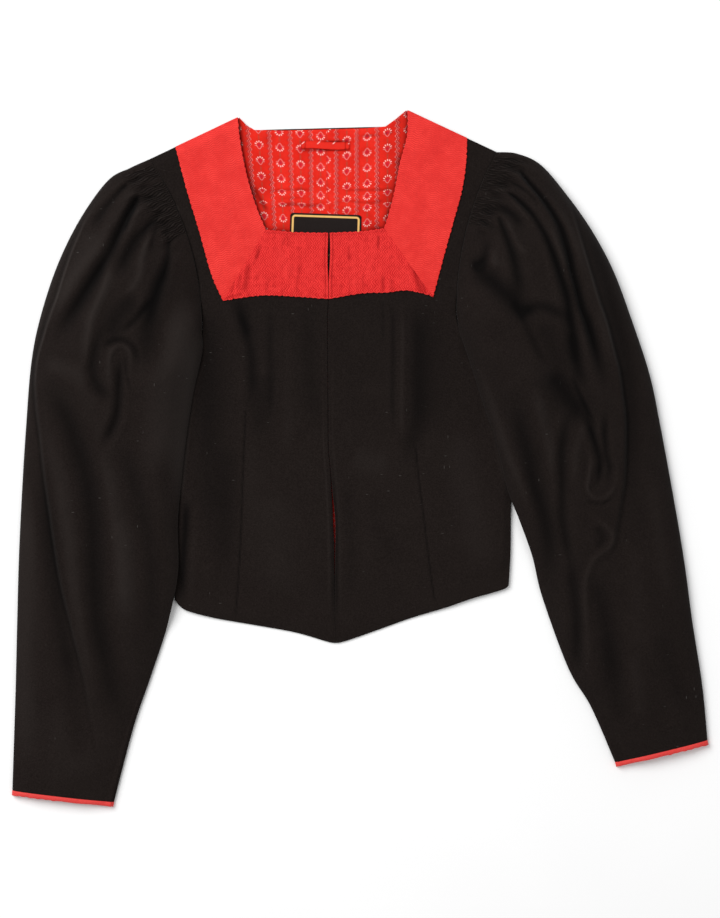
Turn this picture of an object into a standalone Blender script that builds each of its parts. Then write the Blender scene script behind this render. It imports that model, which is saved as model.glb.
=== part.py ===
"""A cropped bolero jacket with puffed sleeves, laid flat with its front upwards.

The jacket lies on the plane Z = 0. +Y runs towards the neck and +X towards the wearer's left side.
The layers from the surface up are the back, its lining, the two fronts and the collar band.
Each sleeve is a flattened tube: its underside lies on the surface and its lower armhole edge on the fronts.
All sizes in the tables are millimetres.
"""

import math

import bmesh
import bpy
import numpy as np

MM = 0.001

# Cloth thicknesses and the gap kept between pieces
WOOL = 2.0
LINING = 1.0
BAND = 1.2
LABEL = 0.7
GAP = 0.35
# Moves every piece so that the origin lies under the middle of the outline
PLAN_SHIFT = (-0.25, 1.3, 0.0)

# Height of the fronts' underside: over the lining and label, and at the outer seams
LINING_UNDER = WOOL + GAP
FRONT_UNDER = LINING_UNDER + LINING + LABEL + 2 * GAP + 0.2
SEAM_UNDER = WOOL + GAP
SEAM_TURN = 10.0
FRONT_TOP = FRONT_UNDER + WOOL

# Sleeve tube: half of its folded edge, and how it rises over the side of the body
SLEEVE_EDGE = 4.5
SLEEVE_LIFT = FRONT_TOP + 0.45
LIFT_FULL_OUTSIDE = 6.0
LIFT_RAMP = 16.0
DOME_POWER = 2.8
UNDERSIDE_POWER = 9.0
ARMHOLE_GAP = 0.7
LEAST_HOLLOW = 2.5
LEAST_SLANT = 0.2

# Shirred band of the sleeve head
PLEATS = 25
PLEAT_FIRST = 0.03
PLEAT_LAST = 0.455
PLEAT_HEIGHT = 0.9

# Cuff binding
BINDING_LENGTH = 5.0
BINDING_WALL = 1.8

SIDE_OF = {"right": 1.0, "left": -1.0}

# Sleeve sections from armhole to cuff, as (station, outer x, outer y, inner x, inner y, bow, crown height)
SLEEVES = {
    "right": (
        ("armhole", -221.5, 313, -166, 131, 14.5, 9.5),
        ("band", -241.5, 304, -165, 120, 12, 17),
        ("head", -265, 290.5, -165, 112, 8, 27),
        ("puff top", -294, 250, -168, 96, 3, 37),
        ("puff", -318, 201, -173, 75, 0, 40),
        ("puff low", -336, 146, -177.5, 50, 0, 38),
        ("upper arm", -345.5, 98, -182, 20, 0, 34),
        ("above elbow", -351, 31, -187, -24, 0, 30),
        ("elbow", -355, -32, -191, -69, 0, 28),
        ("below elbow", -358.5, -105, -190.8, -121, 0, 26),
        ("forearm", -360.5, -179, -201.5, -174, 0, 24),
        ("lower arm", -362, -242, -219.3, -229, 0, 20),
        ("wrist", -363.5, -289, -238, -284, 0, 15),
        ("cuff", -365.5, -350, -258.6, -362.3, 0, 11.5),
    ),
    "left": (
        ("armhole", 144, 320.5, 102, 144.5, 12, 9.5),
        ("band", 165, 319, 103, 136, 10, 17),
        ("head", 190, 307, 105, 128, 7, 27),
        ("puff top", 217.5, 275, 111.5, 110, 3, 37),
        ("puff", 243.5, 238, 121, 81, 0, 40),
        ("puff low", 266, 196, 131, 50, 0, 38),
        ("upper arm", 285.5, 144, 142, 18, 0, 34),
        ("above elbow", 304.5, 86, 154.5, -34, 0, 30),
        ("elbow", 316, 31, 167, -66, 0, 28),
        ("below elbow", 330.5, -48, 181, -105, 0, 26),
        ("forearm", 341, -111, 191.5, -147, 0, 24),
        ("lower arm", 349.5, -174, 219, -222, 0, 20),
        ("wrist", 359.8, -240, 243, -263, 0, 15),
        ("cuff", 365.3, -297, 268, -320.5, 0, 11.5),
    ),
}

# Stations at which the tube has a ring; the first ones carry the pleats of the shirred band
RING_STATIONS = (0, 0.35, 0.7, 1.05, 1.5, 2, 2.5, 3, 3.5, 4, 4.5, 5, 5.5, 6, 6.5, 7, 7.5, 8, 8.6, 9.2, 10, 10.7, 11.4, 12.1, 12.6, 13)
PLEATED_RINGS = 6
PLEAT_FADE_START = 0.9
PLEAT_FADE_END = 2.0

# Folds of the sleeves, as (name, kind, start, middle, end, half width, depth), each point on the fold
# A groove sinks below the cloth, a ridge stands above it, and a step lowers the cloth outside its line
FOLDS = {
    "right": (
        ("long gather", "groove", (-235, 275), (-267, 216), (-313, 134), 8, 13),
        ("second gather", "groove", (-224, 254), (-239, 230), (-259, 186), 7, 6),
        ("inner gather", "groove", (-200, 226), (-215, 178), (-250, 132), 8, 10),
        ("puff fall", "groove", (-269, 144), (-280, 113), (-275, 81), 7, 6),
        ("elbow crease", "groove", (-254, 102), (-255, 62), (-272, 14), 7, 9),
        ("outer edge, upper", "step", (-284, 260), (-326, 160), (-342, 89), 6, 8),
        ("outer edge, lower", "step", (-342, 89), (-316, -109), (-280, -305), 7, 7),
        ("forearm valley", "groove", (-318, 62), (-283, -109), (-252, -297), 10, 6),
        ("inner valley", "groove", (-249, -10), (-229, -84), (-218, -166), 10, 3),
    ),
    "left": (
        ("long gather", "groove", (171, 299), (228, 197), (258, 77), 8, 12),
        ("second gather", "groove", (155, 276), (202, 214), (224, 118), 7, 8),
        ("second gather, lower", "groove", (224, 118), (233, 73), (252, 10), 7, 6),
        ("inner gather", "groove", (117, 207), (147, 185), (172, 152), 9, 8),
        ("upper valley", "groove", (165, 148), (202, 77), (211, -11), 9, 7),
        ("elbow valley", "groove", (211, -11), (214, -64), (230, -148), 8, 5),
        ("inner valley", "groove", (165, 54), (183, -31), (198, -132), 9, 5),
        ("outer edge, upper", "step", (216, 275), (249, 178), (275, 89), 6, 8),
        ("outer edge, lower", "step", (275, 89), (280, 10), (269, -95), 7, 8),
        ("elbow ridge", "ridge", (267, -88), (239, -127), (237, -222), 7, 4),
        ("forearm valley", "groove", (252, -121), (254, -179), (267, -252), 10, 4),
    ),
}

# Side of the body below the armhole, from the lower armhole to the hem corner
SIDE_EDGES = {
    "right": ((-176, 92), (-204.5, 71), (-200, 20), (-197, -43), (-196, -112), (-195, -150)),
    "left": ((117.5, 102), (170, 75), (163, 20), (159, -43), (158, -107), (156.3, -135)),
}
# Centre front edges at the rows from the neck down to the hem
FRONT_EDGES = {
    "right": (
        (-34.5, 233.5), (-34.8, 212), (-35, 187), (-35.2, 160), (-35.3, 131), (-35, 92),
        (-34.5, 71), (-32.8, 20), (-29.6, -43), (-27.1, -118), (-24.8, -194),
    ),
    "left": (
        (-30.8, 233.5), (-31.6, 218), (-32.4, 194), (-33, 170), (-33.6, 144.5), (-33.8, 102),
        (-33, 75), (-31.4, 20), (-28, -43), (-25.8, -118), (-23.8, -194),
    ),
}
# Hem line of each front, from the side corner to the centre
HEMS = {
    "right": (
        (-195, -150), (-189, -157), (-180, -162.3), (-151, -169.8), (-108, -177.3),
        (-67, -184.8), (-33.6, -194.5), (-24.8, -195.5),
    ),
    "left": (
        (156.3, -135), (150, -139.5), (119, -148.5), (90, -158.5), (55, -169),
        (19, -181.8), (-16.5, -194.2), (-23.8, -195.5),
    ),
}
FRONT_EDGE_TURN = 8.8
BACK_NECK = ((-128.5, 357), (-121, 349), (-112.3, 344), (28, 347.6), (37.8, 354.5), (50, 364.5))
BACK_HEM_DROP = 9.0
# Collar band edges: beside the neck from the shoulder down, outer side, and across the front to the centre
BAND_NECK_EDGES = {
    "right": ((-128.5, 357), (-125, 326.6), (-117.6, 291), (-108, 260.4), (-99, 238.5)),
    "left": ((50, 364.5), (49.4, 337), (42, 308.7), (35.3, 275), (28.4, 249), (25.4, 240)),
}
BAND_OUTER_EDGES = {
    "right": ((-193.8, 326), (-181.7, 279.8), (-169, 237.8), (-155.8, 191.1), (-143.9, 163.8)),
    "left": ((112.4, 335.3), (111.3, 308.7), (107.1, 279.8), (99.3, 251), (88.2, 211), (77, 167.5)),
}
BAND_UPPER_EDGES = {
    "right": ((-99, 238.5), (-68.3, 235.8), (-34.2, 235.2)),
    "left": ((25.4, 240), (2.1, 236.8), (-30.2, 235.2)),
}
BAND_LOWER_EDGES = {
    "right": ((-143.9, 163.8), (-104, 169.4), (-68, 168.2), (-34.9, 165.9)),
    "left": ((77, 167.5), (70, 170.5), (48.3, 174.8), (28.4, 172.6), (2.1, 171.6), (-32.1, 165.9)),
}
BAND_OVERHANG = 1.5
NECK_LEVEL = 0.415
ARMHOLE_ROWS = (0.55, 0.7, 0.85, 1.0)
STRAP_COLUMNS = 7
CENTRE_COLUMNS = 5
LINING_HEM = 28.0
# Fullness of each front above its dart, as (centre x, half width)
FULLNESS = {"right": (-122.0, 38.0), "left": (54.0, 44.0)}
FULLNESS_HEIGHT = 1.6

# Label and hanger loop on the lining
LABEL_CENTRE = (-36.5, 232.5)
LABEL_SIZE = (75, 46)
LOOP_CENTRE = (-36.5, 327)
LOOP_SIZE = (51, 7.5)
LOOP_RISE = 0.8

COLOURS = {
    "black_wool": ((0.012, 0.011, 0.011, 1), 0.9),
    "red_band": ((0.68, 0.035, 0.03, 1), 0.6),
    "red_lining": ((0.62, 0.03, 0.025, 1), 0.7),
    "label_weave": ((0.02, 0.018, 0.018, 1), 0.55),
}


def clear_scene():
    for thing in list(bpy.data.objects):
        bpy.data.objects.remove(thing, do_unlink=True)


def make_materials():
    made = {}
    for name, (colour, roughness) in COLOURS.items():
        material = bpy.data.materials.new(name)
        material.use_nodes = True
        shader = material.node_tree.nodes["Principled BSDF"]
        shader.inputs["Base Color"].default_value = colour
        shader.inputs["Roughness"].default_value = roughness
        shader.inputs["Metallic"].default_value = 0.0
        made[name] = material
    return made


def smooth_step(value):
    value = np.clip(value, 0.0, 1.0)
    return value * value * (3.0 - 2.0 * value)


def lerp(first, second, share):
    first, second = np.asarray(first, float), np.asarray(second, float)
    return first + (second - first) * share


def between_rows(rows, position):
    """The numbers of a table at a place between its rows, on a smooth curve through them."""
    numbers = np.array([row[1:] for row in rows], float)
    last = len(numbers) - 1
    low = min(int(position), last - 1)
    share = position - low
    before, start = numbers[max(low - 1, 0)], numbers[low]
    end, after = numbers[low + 1], numbers[min(low + 2, last)]
    slope_in, slope_out = (end - before) / 2, (after - start) / 2
    square, cube = share**2, share**3
    return (
        (2 * cube - 3 * square + 1) * start
        + (cube - 2 * square + share) * slope_in
        + (3 * square - 2 * cube) * end
        + (cube - square) * slope_out
    )


def curve_through(start, middle, end, pieces=24):
    """Points along the parabola that starts, passes its middle and ends at the given points."""
    start, middle, end = (np.array(point, float) for point in (start, middle, end))
    control = 2 * middle - (start + end) / 2
    share = np.linspace(0, 1, pieces + 1)[:, None]
    return (1 - share) ** 2 * start + 2 * share * (1 - share) * control + share**2 * end


def nearest_on(line, points):
    """(distance, share along, side) of each point from a polyline; side is +1 to the left of its direction."""
    best = np.full(len(points), np.inf)
    along = np.zeros(len(points))
    side = np.zeros(len(points))
    pieces = len(line) - 1
    for index in range(pieces):
        start, run = line[index], line[index + 1] - line[index]
        offset = points - start
        share = np.clip(offset @ run / (run @ run), 0, 1)
        gap = offset - share[:, None] * run
        distance = np.hypot(gap[:, 0], gap[:, 1])
        closer = distance < best
        best = np.where(closer, distance, best)
        along = np.where(closer, (index + share) / pieces, along)
        turn = np.sign(run[0] * offset[:, 1] - run[1] * offset[:, 0])
        side = np.where(closer, turn, side)
    return best, along, side


def inside_depth(outline, points):
    """How far each point lies inside a closed outline; negative outside."""
    closed = np.array(list(outline) + [outline[0]], float)
    distance, _, _ = nearest_on(closed, points)
    inside = np.zeros(len(points), bool)
    for start, end in zip(closed[:-1], closed[1:]):
        crosses = (start[1] > points[:, 1]) != (end[1] > points[:, 1])
        height = end[1] - start[1]
        reach = start[0] + (points[:, 1] - start[1]) * (end[0] - start[0]) / (height if height else 1e-9)
        inside ^= crosses & (points[:, 0] < reach)
    return np.where(inside, distance, -distance)


def fold_height(side, points):
    """What the folds of one sleeve add to its upper cloth at these points."""
    height = np.zeros(len(points))
    for _, kind, start, middle, end, half_width, depth in FOLDS[side]:
        distance, along, turn = nearest_on(curve_through(start, middle, end), points)
        taper = np.sqrt(np.clip(np.sin(math.pi * np.clip(along, 0, 1)), 0, 1))
        if kind == "step":
            outward = -turn * SIDE_OF[side]
            past_end = (along <= 0) | (along >= 1)
            share = smooth_step(0.5 + outward * distance / (2 * half_width))
            height -= np.where(past_end, 0, depth * taper * share)
        else:
            sign = 1 if kind == "ridge" else -1
            height += sign * depth * taper * np.exp(-((distance / half_width) ** 2))
    return height


def body_side_outline(side):
    """The part of the body that the sleeve's lower edge lies over."""
    inward = 120 * SIDE_OF[side]
    armhole_end = SLEEVES[side][0][3:5]
    edge = [armhole_end, *SIDE_EDGES[side]]
    return edge + [(edge[-1][0] + inward, edge[-1][1]), (armhole_end[0] + inward, armhole_end[1])]


def sleeve_chord(side, station, across):
    """Plan points of one sleeve section; across runs from 0 at its outer edge to 1 at its inner edge."""
    outer_x, outer_y, inner_x, inner_y, bow, crown = between_rows(SLEEVES[side], station)
    outer, inner = np.array((outer_x, outer_y)), np.array((inner_x, inner_y))
    run = inner - outer
    towards_body = np.array((-run[1], run[0])) / np.hypot(*run) * SIDE_OF[side]
    across = np.asarray(across, float)[:, None]
    plan = outer + run * across + towards_body * bow * 4 * across * (1 - across)
    return plan, crown


def edge_insets(side, station, wall):
    """Shares of a section by which the hollow stays inside each folded edge, more where they meet at a slant."""
    insets = []
    for across, step in ((0.0, 0.02), (1.0, -0.02)):
        near = max(min(station, len(SLEEVES[side]) - 1.05), 0.05)
        ends = [sleeve_chord(side, place, [across])[0][0] for place in (near - 0.05, near + 0.05)]
        section = sleeve_chord(side, station, [across, across + step])[0]
        edge, chord = ends[1] - ends[0], section[1] - section[0]
        slant = abs(edge[0] * chord[1] - edge[1] * chord[0]) / (np.hypot(*edge) * np.hypot(*chord))
        row = between_rows(SLEEVES[side], station)
        width = math.hypot(row[2] - row[0], row[3] - row[1])
        insets.append(wall / max(slant, LEAST_SLANT) / width)
    return insets


def sleeve_lift(side, points):
    """Height at which the sleeve's underside lies: on the surface, or on the fronts where it covers them."""
    depth = inside_depth(body_side_outline(side), points)
    return SLEEVE_LIFT * smooth_step(1 + (depth + LIFT_FULL_OUTSIDE) / LIFT_RAMP)


def superellipse(across, power):
    return np.clip(1 - np.abs(2 * np.asarray(across) - 1) ** power, 0, 1) ** (1 / power)


def upper_columns():
    """Shares across the upper cloth: a turned edge, two for each pleat, then the plain cloth."""
    pleats = np.linspace(PLEAT_FIRST, PLEAT_LAST, 2 * PLEATS + 1)
    plain = (0.48, 0.515, 0.55, 0.59, 0.635, 0.68, 0.725, 0.77, 0.815, 0.86, 0.9, 0.935, 0.965, 0.988)
    return np.array([0, 0.009, *pleats, *plain, 1.0])


def lower_columns():
    """Shares across the underside, from the inner edge back to the outer one."""
    return np.array((0.988, 0.96, 0.92, 0.87, 0.81, 0.74, 0.65, 0.53, 0.4, 0.26, 0.14, 0.05, 0.012))


def sleeve_ring(side, station, wall=0.0):
    """One closed section of the plain sleeve tube, in millimetres: the upper cloth, then the underside.

    With a wall thickness it is the section of the hollow inside.
    """
    start, end = edge_insets(side, station, wall)
    upper, lower = upper_columns(), lower_columns()
    outer_plan, crown = sleeve_chord(side, station, upper)
    top_plan, _ = sleeve_chord(side, station, upper + start * (1 - upper) ** 8 - end * upper**8)
    low_plan, _ = sleeve_chord(side, station, lower + start * (1 - lower) ** 8 - end * lower**8)
    edge_round = SLEEVE_EDGE - wall
    low = sleeve_lift(side, low_plan) + wall + edge_round * (1 - superellipse(lower, UNDERSIDE_POWER))
    lift = sleeve_lift(side, top_plan)
    top = lift + SLEEVE_EDGE + (crown - wall - SLEEVE_EDGE) * superellipse(upper, DOME_POWER)
    cuff_share = smooth_step((len(SLEEVES[side]) - 1 - station) / 1.5)
    head_share = smooth_step((station - 0.6) / 1.2)
    top += fold_height(side, outer_plan) * cuff_share * head_share * superellipse(upper, 2.0)
    least = lift + 2 * WOOL + LEAST_HOLLOW - wall
    well_inside = (upper > 0.02) & (upper < 0.98)
    top = np.where(well_inside, np.maximum(top, least), top)
    return np.vstack((np.column_stack((top_plan, top)), np.column_stack((low_plan, low))))


def pleat_wave(station):
    """How far the shirring moves each column of the upper cloth up or down at this station."""
    share = 1 - smooth_step((station - PLEAT_FADE_START) / (PLEAT_FADE_END - PLEAT_FADE_START))
    wave = np.zeros(len(upper_columns()) + len(lower_columns()))
    wave[2 : 2 + 2 * PLEATS + 1 : 2] = -PLEAT_HEIGHT
    wave[3 : 2 + 2 * PLEATS : 2] = PLEAT_HEIGHT
    return wave * share


def coarse_columns(every=4):
    """The ring's columns that carry on past the shirred band: every fourth of the pleated ones."""
    ring = len(upper_columns()) + len(lower_columns())
    pleated = range(2, 2 + 2 * PLEATS + 1)
    return [index for index in range(ring) if index not in pleated or (index - 2) % every == 0]


def mesh_object(name, points, faces, material, collection):
    """An object from points in millimetres and faces that may have any number of corners."""
    work = bmesh.new()
    placed = (np.asarray(points, float) + PLAN_SHIFT) * MM
    corners = [work.verts.new(tuple(point)) for point in placed]
    for face in faces:
        work.faces.new([corners[index] for index in face])
    bmesh.ops.recalc_face_normals(work, faces=work.faces)
    mesh = bpy.data.meshes.new(name)
    work.to_mesh(mesh)
    work.free()
    made = bpy.data.objects.new(name, mesh)
    made.data.materials.append(material)
    collection.objects.link(made)
    return made


def give_wall(made, thickness):
    """Solidify an open surface that lies flat, upwards from its underside."""
    if made.data.polygons[0].normal.z < 0:
        made.data.flip_normals()
    wall = made.modifiers.new("wall", "SOLIDIFY")
    wall.thickness = thickness * MM
    wall.offset = 1
    wall.use_rim = True
    wall.use_even_offset = False


def tube_faces(rings):
    """Faces between closed rings, each given as {column: point index}; a later ring may have fewer columns."""
    faces = []
    for first, second in zip(rings[:-1], rings[1:]):
        columns = list(second)
        fuller = list(first)
        for index, column in enumerate(columns):
            following = columns[(index + 1) % len(columns)]
            start = fuller.index(column)
            stop = fuller.index(following) if following != columns[0] else len(fuller)
            run = [first[fuller[place % len(fuller)]] for place in range(start, stop + 1)]
            faces.append(run + [second[following], second[column]])
    return faces


def flatter_triangles(faces, points):
    """The faces cut into triangles, each quad along the diagonal that changes height less."""
    triangles = []
    for face in faces:
        if len(face) == 4 and abs(points[face[1]][2] - points[face[3]][2]) < abs(points[face[0]][2] - points[face[2]][2]):
            face = face[1:] + face[:1]
        last = face[-1] if len(face) > 4 else face[0]
        ring = face[:-1] if len(face) > 4 else face[1:]
        triangles += [[last, first, second] for first, second in zip(ring[:-1], ring[1:])]
    return triangles


def tube_object(name, outside, inside, column_lists, material, collection):
    """A tube with a wall, open at both ends, from its outer and inner rings and the columns that each keeps."""
    points, rings = [], []
    for ring, columns in zip(outside, column_lists):
        rings.append({column: len(points) + place for place, column in enumerate(columns)})
        points.extend(ring[column] for column in columns)
    outer_count = len(points)
    for ring, columns in zip(inside, column_lists):
        points.extend(ring[column] for column in columns)
    faces = flatter_triangles(tube_faces(rings), points)
    faces += [[index + outer_count for index in face[::-1]] for face in faces]
    for end in (rings[0], rings[-1]):
        loop = list(end.values())
        for index, following in zip(loop, loop[1:] + loop[:1]):
            faces.append([index, following, following + outer_count, index + outer_count])
    return mesh_object(name, points, faces, material, collection)


def sleeve(side, material, collection):
    every_column = list(range(len(upper_columns()) + len(lower_columns())))
    columns = [every_column if number < PLEATED_RINGS else coarse_columns() for number in range(len(RING_STATIONS))]
    outside = [sleeve_ring(side, station) for station in RING_STATIONS]
    for ring, station in zip(outside, RING_STATIONS):
        ring[:, 2] += pleat_wave(station)
    inside = [sleeve_ring(side, station, WOOL) for station in RING_STATIONS]
    return tube_object("sleeve_" + side, outside, inside, columns, material, collection)


def cuff_binding(side, material, collection):
    """A short red ring that carries on from the end of the sleeve."""
    last = len(SLEEVES[side]) - 1
    row = SLEEVES[side][-1]
    run = np.array(row[3:5], float) - np.array(row[1:3], float)
    onward = np.array((run[1], -run[0], 0)) / np.hypot(*run) * SIDE_OF[side]
    distances = (GAP, GAP + BINDING_LENGTH)
    outside = [sleeve_ring(side, last) + onward * distance for distance in distances]
    inside = [sleeve_ring(side, last, BINDING_WALL) + onward * distance for distance in distances]
    columns = [coarse_columns()] * 2
    return tube_object("cuff_binding_" + side, outside, inside, columns, material, collection)


def armhole_edge(side, across):
    """The panels' armhole edge: the sleeve's first section, moved in by the seam gap."""
    plan, _ = sleeve_chord(side, 0, np.array([across]))
    return plan[0] + np.array((SIDE_OF[side] * ARMHOLE_GAP, 0))


def along_line(line, share):
    """The point at a share of a broken line's length."""
    line = np.array(line, float)
    reached = np.concatenate(([0], np.cumsum(np.hypot(*np.diff(line, axis=0).T))))
    place = share * reached[-1]
    return np.array([np.interp(place, reached, line[:, axis]) for axis in (0, 1)])


def shoulder_line(side):
    """Tip of the shoulder and the directions along it to the neck and down into the body."""
    tip = armhole_edge(side, 0)
    along = np.array(BAND_NECK_EDGES[side][0]) - tip
    along = along / np.hypot(*along)
    into = np.array((along[1], -along[0])) * SIDE_OF[side]
    return tip, along, into


def turned_share(side, point_at):
    """Share at which an edge, given as a function of its share, leaves the turn of the shoulder seam."""
    tip, _, into = shoulder_line(side)
    shares = np.linspace(0, 0.4, 121)
    return float(np.interp(SEAM_TURN, [(point_at(share) - tip) @ into for share in shares], shares))


def front_under(side, x, y):
    """Height of a front's underside: low at the shoulder seam, and full over the dart's end."""
    tip, _, into = shoulder_line(side)
    turn = np.clip((np.array((x, y)) - tip) @ into / SEAM_TURN, 0, 1)
    fade = smooth_step((148 - y) / 45) * smooth_step((y + 60) / 70)
    centre, half_width = FULLNESS[side]
    bump = max(1 - ((x - centre) / half_width) ** 2, 0) ** 2
    return SEAM_UNDER + (FRONT_UNDER - SEAM_UNDER) * float(turn) + FULLNESS_HEIGHT * float(fade) * bump


def grid_faces(numbers):
    """Faces of a grid of point numbers in which a row may be shorter than the one below it."""
    faces = []
    for above, below in zip(numbers[:-1], numbers[1:]):
        for column in range(min(len(above), len(below)) - 1):
            faces.append((above[column], below[column], below[column + 1], above[column + 1]))
    return faces


def back_hem_y(x):
    """The back's hem line, which the fronts' point passes."""
    right, left = SIDE_EDGES["right"][-1], SIDE_EDGES["left"][-1]
    share = (x - right[0]) / (left[0] - right[0])
    return right[1] + (left[1] - right[1]) * share - BACK_HEM_DROP * 4 * share * (1 - share)


def over_back_hem(above, hem):
    """The point between two that lies just past the back's hem, so that the cloth stays clear of its edge."""
    target = back_hem_y(hem[0]) - 4
    share = (above[1] - target) / (above[1] - hem[1])
    return lerp(above, hem, min(max(share, 0.3), 0.85))


def seamed_row(start, stop, columns, last_step=None):
    """Points of a row whose first step is the turn of the side seam and whose last may be a folded edge."""
    length = np.hypot(*(np.asarray(stop) - np.asarray(start)))
    if last_step is None:
        shares = [0.0, *np.linspace(SEAM_TURN / length, 1.0, columns)]
    else:
        shares = [0.0, *np.linspace(SEAM_TURN / length, 1.0 - last_step / length, columns - 1), 1.0]
    return [lerp(start, stop, share) for share in shares]


def front_rows(side):
    """Plan points of one front: rows beside the neck, then rows to the centre edge, then the hem."""
    centre = [np.array(point, float) for point in FRONT_EDGES[side]]
    under_band = np.array((-BAND_OVERHANG * SIDE_OF[side], -BAND_OVERHANG))

    def neck_edge(share):
        return along_line(BAND_NECK_EDGES[side], share) + under_band * (SIDE_OF[side], smooth_step(share * 8))

    def armhole(share):
        return armhole_edge(side, share)

    strap = (
        (0, 0), (turned_share(side, armhole), turned_share(side, neck_edge)),
        (0.15, 0.3), (0.24, 0.53), (0.33, 0.77), (NECK_LEVEL, 1),
    )
    rows = [seamed_row(armhole(across), neck_edge(down), STRAP_COLUMNS) for across, down in strap]
    corner = rows[-1][-1]
    last_share = 1 - FRONT_EDGE_TURN / np.hypot(*(centre[0] - corner))
    rows[-1] += [lerp(corner, centre[0], share) for share in (*np.linspace(0, last_share, CENTRE_COLUMNS)[1:], 1)]
    outer = [armhole_edge(side, share) for share in ARMHOLE_ROWS] + list(SIDE_EDGES[side])
    for start, stop in zip(outer, centre[1:]):
        rows.append(seamed_row(start, stop, STRAP_COLUMNS + CENTRE_COLUMNS, FRONT_EDGE_TURN))
    hem = np.array(sorted(HEMS[side]), float)
    for point in rows[-1]:
        point[1] = np.interp(point[0], hem[:, 0], hem[:, 1])
    rows.insert(-1, [over_back_hem(*pair) for pair in zip(rows[-2], rows[-1])])
    return rows


def front(side, material, collection):
    points, numbers = [], []
    rows = front_rows(side)
    first_side_row = len(rows) - len(SIDE_EDGES[side]) - 1
    for row_number, row in enumerate(rows):
        numbers.append(list(range(len(points), len(points) + len(row))))
        for column, (x, y) in enumerate(row):
            height = front_under(side, x, y)
            if column == 0 and row_number >= first_side_row or row_number == len(rows) - 2:
                height = SEAM_UNDER
            if row_number == len(rows) - 1:
                height = SEAM_UNDER * float(1 - smooth_step((back_hem_y(x) - y - 8) / 16))
            points.append((x, y, height))
    made = mesh_object("front_" + side, points, grid_faces(numbers), material, collection)
    give_wall(made, WOOL)


def back_edges():
    """Right and left edges of the back at its rows, from the shoulder tips to the hem corners."""
    edges = []
    for side in ("right", "left"):
        armhole = [armhole_edge(side, share) for share in (0, 0.14, 0.28, NECK_LEVEL, *ARMHOLE_ROWS)]
        edges.append(armhole + [np.array(point, float) for point in SIDE_EDGES[side]])
    return edges


def body_layer(name, inset, neck_inset, hem_inset, under, thickness, material, collection):
    """The back or its lining: rows across the whole body, its upper edge following the back of the neck."""
    right_edge, left_edge = back_edges()
    tips = right_edge[0], left_edge[0]
    upper = np.array([tips[0], *BACK_NECK, tips[1]])
    neck_shares = [(point[0] - tips[0][0]) / (tips[1][0] - tips[0][0]) for point in BACK_NECK]
    shares = sorted([0.0, 0.12, 0.38, 0.5, 0.62, 0.88, 1.0, *neck_shares])
    points, numbers = [], []
    for row, (start, stop) in enumerate(zip(right_edge, left_edge)):
        numbers.append(list(range(len(points), len(points) + len(shares))))
        for share in shares:
            x, y = lerp(start + (inset, 0), stop - (inset, 0), share)
            if row < 2:
                level = lerp(tips[0], tips[1], share)
                fade = 1 - 0.62 * row
                y += fade * float(np.interp(level[0], upper[:, 0], upper[:, 1]) - level[1])
                at_neck = neck_shares[0] <= share <= neck_shares[-1]
                y -= (neck_inset if at_neck else inset) * (1 - row)
            if row == len(right_edge) - 1:
                y = back_hem_y(x) + hem_inset
            points.append((x, y, under))
    made = mesh_object(name, points, grid_faces(numbers), material, collection)
    give_wall(made, thickness)


def collar_piece(name, side, outer_edge, inner_edge, rows, columns, material, collection):
    """A piece of band lying on a front, between its outer edge and its inner edge."""
    points, numbers = [], []
    for outer_share, inner_share in rows:
        numbers.append(list(range(len(points), len(points) + columns + 1)))
        start, stop = along_line(outer_edge, outer_share), along_line(inner_edge, inner_share)
        for share in np.linspace(0, 1, columns + 1):
            x, y = lerp(start, stop, share)
            points.append((x, y, front_under(side, x, y) + WOOL + GAP))
    made = mesh_object(name, points, grid_faces(numbers), material, collection)
    give_wall(made, BAND)


def collar(side, material, collection):
    """The side strip over the shoulder and the strip across the front, mitred together."""
    mitre = np.array((GAP / 2 * SIDE_OF[side], 0))
    outer, inner = np.array(BAND_OUTER_EDGES[side], float), np.array(BAND_NECK_EDGES[side], float)
    outer[-1] -= mitre
    inner[-1] -= mitre
    turns = [turned_share(side, lambda share, line=line: along_line(line, share)) for line in (outer, inner)]
    rows = [(0, 0), turns] + [(share, share) for share in (0.28, 0.46, 0.64, 0.82, 1)]
    collar_piece("collar_side_" + side, side, outer, inner, rows, 4, material, collection)
    lower, upper = np.array(BAND_LOWER_EDGES[side], float), np.array(BAND_UPPER_EDGES[side], float)
    lower[0] += mitre
    upper[0] += mitre
    rows = [(share, share) for share in np.linspace(0, 1, 9)]
    collar_piece("collar_front_" + side, side, lower, upper, rows, 3, material, collection)


def label(material, collection):
    bpy.ops.mesh.primitive_cube_add(size=1)
    made = bpy.context.object
    made.name = "label"
    made.scale = (LABEL_SIZE[0] * MM, LABEL_SIZE[1] * MM, LABEL * MM)
    height = LINING_UNDER + LINING + GAP + LABEL / 2
    made.location = (np.array((*LABEL_CENTRE, height)) + PLAN_SHIFT) * MM
    made.data.materials.append(material)
    for holder in list(made.users_collection):
        holder.objects.unlink(made)
    collection.objects.link(made)


def hanger_loop(material, collection):
    """A narrow strip sewn down at both ends, arched a little between them."""
    points, numbers = [], []
    length, width = LOOP_SIZE
    base = LINING_UNDER + LINING + GAP
    for edge in (width / 2, -width / 2):
        numbers.append(list(range(len(points), len(points) + 9)))
        for share in np.linspace(0, 1, 9):
            rise = LOOP_RISE * math.sin(math.pi * share)
            x = LOOP_CENTRE[0] + (share - 0.5) * length
            points.append((x, LOOP_CENTRE[1] + edge, base + rise))
    made = mesh_object("hanger_loop", points, grid_faces(numbers), material, collection)
    give_wall(made, LINING)


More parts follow.
